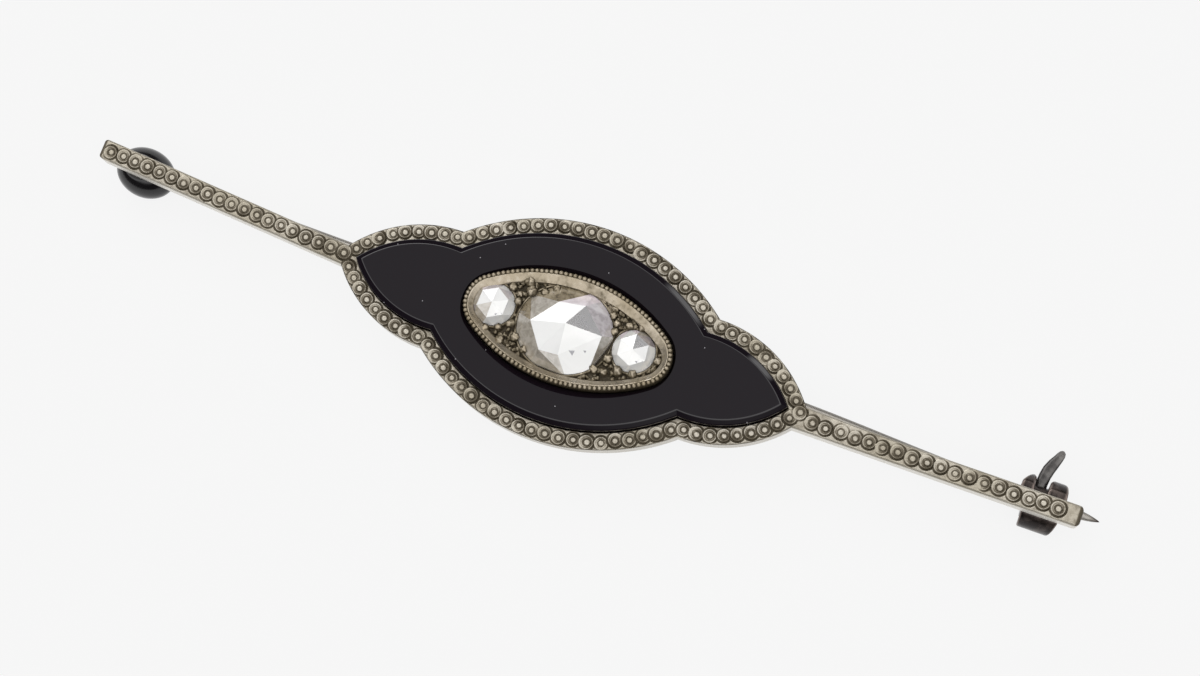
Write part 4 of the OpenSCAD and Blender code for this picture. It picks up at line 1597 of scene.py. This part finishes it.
@dataclass(frozen=True)
class RollCatch:
    """C-shaped catch soldered under the right arm, and the collar with a curved lever that turns in it."""

    x: float = 35.1
    y: float = -0.1
    z: float = -1.6
    half_l: float = 1.5
    outer: float = 1.9
    bore: float = 1.3
    gap: float = 0.05
    collar: float = 0.85
    mouth: float = 0.78
    stand: float = -1.5
    top: float = 1.57
    slot: tuple[float, float] = (-0.89, 0.07)
    soft: float = 0.14
    soft_arm: float = 0.24
    soft_collar: float = 0.08
    spine: tuple[tuple[float, float, float, float, float], ...] = (
        (-0.46, 0.95, 0.00, 0.42, 0.25), (-0.45, 1.5, 0.00, 0.42, 0.25), (-0.4, 2.05, 0.02, 0.43, 0.24),
        (-0.29, 2.55, 0.06, 0.44, 0.23), (-0.1, 3.05, 0.12, 0.41, 0.21), (0.1, 3.5, 0.18, 0.34, 0.18),
        (0.2, 3.78, 0.22, 0.3, 0.15), (0.25, 3.98, 0.24, 0.22, 0.11), (0.27, 4.1, 0.25, 0.08, 0.05),
    )
    hollow: tuple[float, float] = (5.2, 6.2)

    def slab(self, shell: Shell, sides: tuple[Side, ...], near: float, far: float, soft: float) -> None:
        """Adds a bent bar with rounded edges, part of a ring round the catch's axis.

        Args:
            shell: Where it goes.
            sides: Its two sides at some angles, counted from the lever's side up towards the arm.
            near: Its inner radius.
            far: Its outer radius.
            soft: Radius of its edges.
        """
        corner = soft - soft * ways(np.linspace(0, math.pi / 2, 6))
        angles, lefts, rights = np.array(sorted(sides)).T
        turn = np.linspace(angles[0], angles[-1], int((angles[-1] - angles[0]) / 3) + 2)
        lowest = self.stand if far > self.bore else -self.outer
        edges = np.interp(turn, angles, lefts), np.interp(turn, angles, rights)
        rows = []
        for t, left, right in zip(np.radians(turn), *edges):
            loop = [(left + i, far - o) for i, o in corner]
            loop += [(right - i, far - o) for i, o in corner[::-1]]
            loop += [(right - i, near + o) for i, o in corner]
            loop += [(left + i, near + o) for i, o in corner[::-1]]
            along, r = np.array(loop).T
            z = np.clip(r * math.sin(t), lowest, self.top)
            rows.append(np.column_stack([self.x + along, self.y + r * math.cos(t), self.z + z]))
        # Painted highlight, partly wear: the middle of each rounded edge gets dirt below zero, a pale rubbed
        # line.
        edge = np.array([0, 0.4, 1, 1, 0.4, 0])
        bare = -np.tile(np.concatenate([edge, edge, 0.3 * edge, 0.3 * edge]), (len(rows), 1))
        shell.grid(np.array(rows)[::-1], bare, cap_first=True, cap_last=True)

    def housing(self, shell: Shell) -> None:
        """Adds the housing: a bridge on the arm's side, two arms towards the mouth and two below.

        Args:
            shell: Where it goes.
        """
        opening = math.degrees(math.asin(self.mouth / (self.outer - 0.1)))
        low, high = self.slot
        half = self.half_l
        foot, heel = opening - 90, 270 - opening
        bars = (
            (self.soft, (Side(88, -1.3, half - 0.12), Side(130, -1.26, half - 0.15),
                         Side(180, -1.22, half - 0.45), Side(194, -1.2, half - 0.48))),
            (self.soft_arm, (Side(92, -1.85, low), Side(50, -1.8, low), Side(25, -1.5, low),
                             Side(5, -1.3, low - 0.02), Side(-10, -1.25, low), Side(foot, -1.25, low))),
            (self.soft_arm, (Side(92, high, half), Side(45, high, half - 0.04),
                             Side(20, high + 0.04, half - 0.12), Side(0, high + 0.12, half - 0.3),
                             Side(foot, high, half - 0.3))),
            (self.soft, (Side(190, -1.2, low), Side(heel, -1.15, low))),
            (self.soft, (Side(190, high, half - 0.48), Side(heel, high, half - 0.5))),
        )
        for soft, sides in bars:
            self.slab(shell, sides, self.bore, self.outer, soft)

    def lever(self, shell: Shell) -> None:
        """Adds the curved, tapering lever, hollowed on top near its end.

        Args:
            shell: Where it goes.
        """
        knots = np.array(self.spine)
        at = np.linspace(0, len(knots) - 1, 33)
        x, y, z, wide, thick = (np.interp(at, np.arange(len(knots)), column) for column in knots.T)
        way = np.stack([np.gradient(x), np.gradient(y)], -1)
        way /= np.linalg.norm(way, axis=1)[:, None]
        turn = full_turn(28)
        across = np.sign(np.cos(turn)) * np.abs(np.cos(turn)) ** 0.8
        upward = np.sign(np.sin(turn)) * np.abs(np.sin(turn)) ** 0.8
        dish = 0.6 * np.where(np.sin(turn) > 0.3, 1, 0) * (1 - across ** 2)
        rows = []
        for k in range(len(at)):
            side = across * wide[k]
            height = upward * thick[k] * (1 - smooth(at[k], *self.hollow) * dish)
            rows.append(np.column_stack([self.x + x[k] + side * way[k, 1], self.y + y[k] - side * way[k, 0],
                                         self.z + z[k] + height]))
        shell.grid(np.array(rows), cap_first=True, cap_last=True)

    def build(self, place: Placement) -> dict[str, list[bpy.types.Object]]:
        """Makes the housing and the lever with its collar.

        Args:
            place: Where the panel's plane lies in the frame.

        Returns:
            The pieces, by the construction piece that they replace.
        """
        housing, collar, lever = Shell(), Shell(), Shell()
        self.housing(housing)
        outside = self.bore - self.gap
        inside = math.degrees(math.asin(self.mouth / outside))
        ends = (self.gap - 1.3, self.half_l - 0.4)
        self.slab(collar, (Side(inside - 90, *ends), Side(270 - inside, *ends)), self.collar, outside,
                  self.soft_collar)
        self.lever(lever)
        body, grip = Metal.CATCH.value.build(), Metal.LEVER.value.build()
        return {"catch_housing": [housing.to_object("catch_body", place, body, crease_deg=50)],
                "catch_lever": [collar.to_object("roll_collar", place, body, crease_deg=50),
                                lever.to_object("roll_lever", place, grip, crease_deg=50)]}


@dataclass(frozen=True)
class Pin:
    """The pin: a flat round head in the knuckle, a slightly bowed wire and a point like a bullet's."""

    hinge: tuple[float, float, float] = (-35.0, 1.41, -1.6)
    tip: tuple[float, float, float] = (39.2, 0.14, -1.6)
    head_r: float = 1.2
    head_t: float = 0.9
    head_soft: float = 0.08
    bow: float = 0.4
    bow_at: float = 50.5
    bow_reach: float = 17.0
    wire: tuple[tuple[float, float], ...] = (
        (0.5, 0.43), (1.0, 0.44), (2.75, 0.4), (67.7, 0.4), (68.3, 0.36),
    )
    point: tuple[tuple[float, float], ...] = (
        (71.8, 0.36), (72.4, 0.345), (73.0, 0.295), (73.4, 0.24), (73.75, 0.165), (74.0, 0.095),
        (74.14, 0.05), (74.21, 0.015),
    )

    def build(self, place: Placement) -> dict[str, list[bpy.types.Object]]:
        """Makes the pin.

        Args:
            place: Where the panel's plane lies in the frame.

        Returns:
            The pieces, by the construction piece that they replace.
        """
        shell = Shell()
        start, end = np.array(self.hinge), np.array(self.tip)
        way = (end - start) / np.linalg.norm(end - start)
        side, up = np.array([-way[1], way[0], 0]), np.array([0, 0, 1])
        turn = full_turn(40)[:, None]
        knots, radii = np.array([*self.wire, *self.point]).T
        at = np.unique(np.concatenate([knots, np.linspace(self.wire[2][0], self.wire[3][0], 30),
                                       np.linspace(self.point[0][0], self.point[-1][0], 24)]))
        r = np.interp(at, knots, radii)
        bent = self.bow * np.cos(np.clip((at - self.bow_at) / self.bow_reach, -1, 1) * math.pi / 2) ** 2
        rows = [start + s * way + b * side + q * (np.cos(turn) * side + np.sin(turn) * up)
                for s, q, b in zip(at, r, bent)]
        shell.grid(np.array(rows), cap_first=True, cap_last=True)
        half, soft = self.head_t / 2, self.head_soft
        outer, inset = self.head_r, 0.3 * soft
        rounded = [(outer - soft, half), (outer - inset, half - inset), (outer, half - soft)]
        disc = [*[(q, -y) for q, y in rounded], *rounded[::-1]]
        turn = full_turn(72)[:, None]
        rows = [start + q * (np.cos(turn) * [1, 0, 0] + np.sin(turn) * up) + [0, y, 0] for q, y in disc]
        shell.grid(np.array(rows)[::-1], cap_first=True, cap_last=True)
        return {"pin_stem": [shell.to_object("pin", place, Metal.WIRE.value.build(), crease_deg=40)]}


class SoftBox(NamedTuple):
    """A soft patch in the studio's sky: its direction, its angular radius and soft edge, and its brightness.

    A brightness below zero takes light away, as a dark card would.
    """

    aim: tuple[float, float, float]
    radius_deg: float
    edge_deg: float
    power: float


@dataclass
class Studio:
    """Pale table, a bright ceiling over a dim room, soft boxes and the camera of the picture."""

    picture_w: int = 1200
    focal_px: float = 2200.0
    sensor_mm: float = 36.0
    camera_at: tuple[float, float, float] = (27.707, -24.505, 153.2265)
    camera_turn_deg: tuple[float, float, float] = (11.9241, 5.6994, 20.4975)
    ground_half_m: float = 1.5
    room: float = 0.07
    ceiling: float = 1.7
    ceiling_from: tuple[float, float] = (0.44, 0.65)
    patches: tuple[SoftBox, ...] = (
        SoftBox((-0.1755, 0.155, 0.972), 9, 14, -1.27),
        SoftBox((-0.55, 0.55, 0.63), 14, 24, 2.0),
        SoftBox((0.31, 0.91, 0.24), 3, 9, 2.0),
    )

    def camera(self, place: Placement) -> None:
        """Makes the camera.

        Args:
            place: Where the panel's plane lies in the frame.
        """
        data = bpy.data.cameras.new("picture_camera")
        data.sensor_width = self.sensor_mm
        data.lens = self.focal_px * self.sensor_mm / self.picture_w
        data.clip_start, data.clip_end = 0.005, 20
        made = bpy.data.objects.new("picture_camera", data)
        turn = Euler([math.radians(angle) for angle in self.camera_turn_deg])
        at = Vector(place.to_metres(np.array(self.camera_at)))
        made.matrix_world = Matrix.Translation(at) @ turn.to_matrix().to_4x4()
        bpy.context.scene.collection.objects.link(made)
        bpy.context.scene.camera = made

    def table(self) -> None:
        """Makes the pale ground."""
        mesh = bpy.data.meshes.new("pale_ground")
        half = self.ground_half_m
        corners = [(-half, -half, 0), (half, -half, 0), (half, half, 0), (-half, half, 0)]
        mesh.from_pydata(corners, [], [(0, 1, 2, 3)])
        mesh.materials.append(WhiteAcrylic().build())
        made = bpy.data.objects.new("pale_ground", mesh)
        bpy.context.scene.collection.objects.link(made)

    def light(self) -> None:
        """Makes the sky of the studio."""
        world = bpy.data.worlds.new("studio_light")
        bpy.context.scene.world = world
        world.use_nodes = True
        sky = Painter(world.node_tree, "Background")
        way = sky.place("Generated")
        height = sky.add("SeparateXYZ", "Z", {}, {0: way})
        total = sky.ramp(height, *self.ceiling_from, self.room, self.ceiling, soft=True)
        for box in self.patches:
            near = sky.vector("DOT_PRODUCT", "Value", way, Vector(box.aim).normalized())
            edge, core = (math.cos(math.radians(d)) for d in (box.edge_deg, box.radius_deg))
            total = sky.join("ADD", total, sky.ramp(near, edge, core, 0.0, box.power, soft=True))
        sky.feed({"Strength": total, "Color": (1, 1, 1, 1)})
        bpy.context.scene.view_settings.view_transform = "Standard"

    def build(self, place: Placement) -> None:
        """Sets up the whole studio.

        Args:
            place: Where the panel's plane lies in the frame.
        """
        self.camera(place)
        self.table()
        self.light()
        log.info("studio: camera, ground and light")


def clear_start_up() -> None:
    """Takes away what Blender's start-up file holds."""
    for name in ("Cube", "Light", "Camera"):
        found = bpy.data.objects.get(name)
        if found is not None and "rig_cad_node" not in found:
            bpy.data.objects.remove(found)


def main() -> None:
    """Builds the brooch and its studio, placed by the frame's box."""
    logging.basicConfig(level=logging.INFO, format="%(name)s: %(message)s")
    clear_start_up()
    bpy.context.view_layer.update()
    low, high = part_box("frame")
    place = Placement((low.x + high.x) / 2 / MM, low.z / MM)
    Studio().build(place)
    outline, oval = PanelOutline(), OvalOutline()
    pieces = {"frame": SilverFrame(outline).build(place),
              "onyx_plaque": [OnyxPlaque(outline, oval).build(place)]}
    for part in (CentreSetting(oval), Knuckle(), RollCatch(), Pin()):
        pieces.update(part.build(place))
    for node, made in pieces.items():
        for piece in made:
            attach(piece, MOVING.get(node, BODY))
            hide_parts(node)


if __name__ == "__main__":
    main()
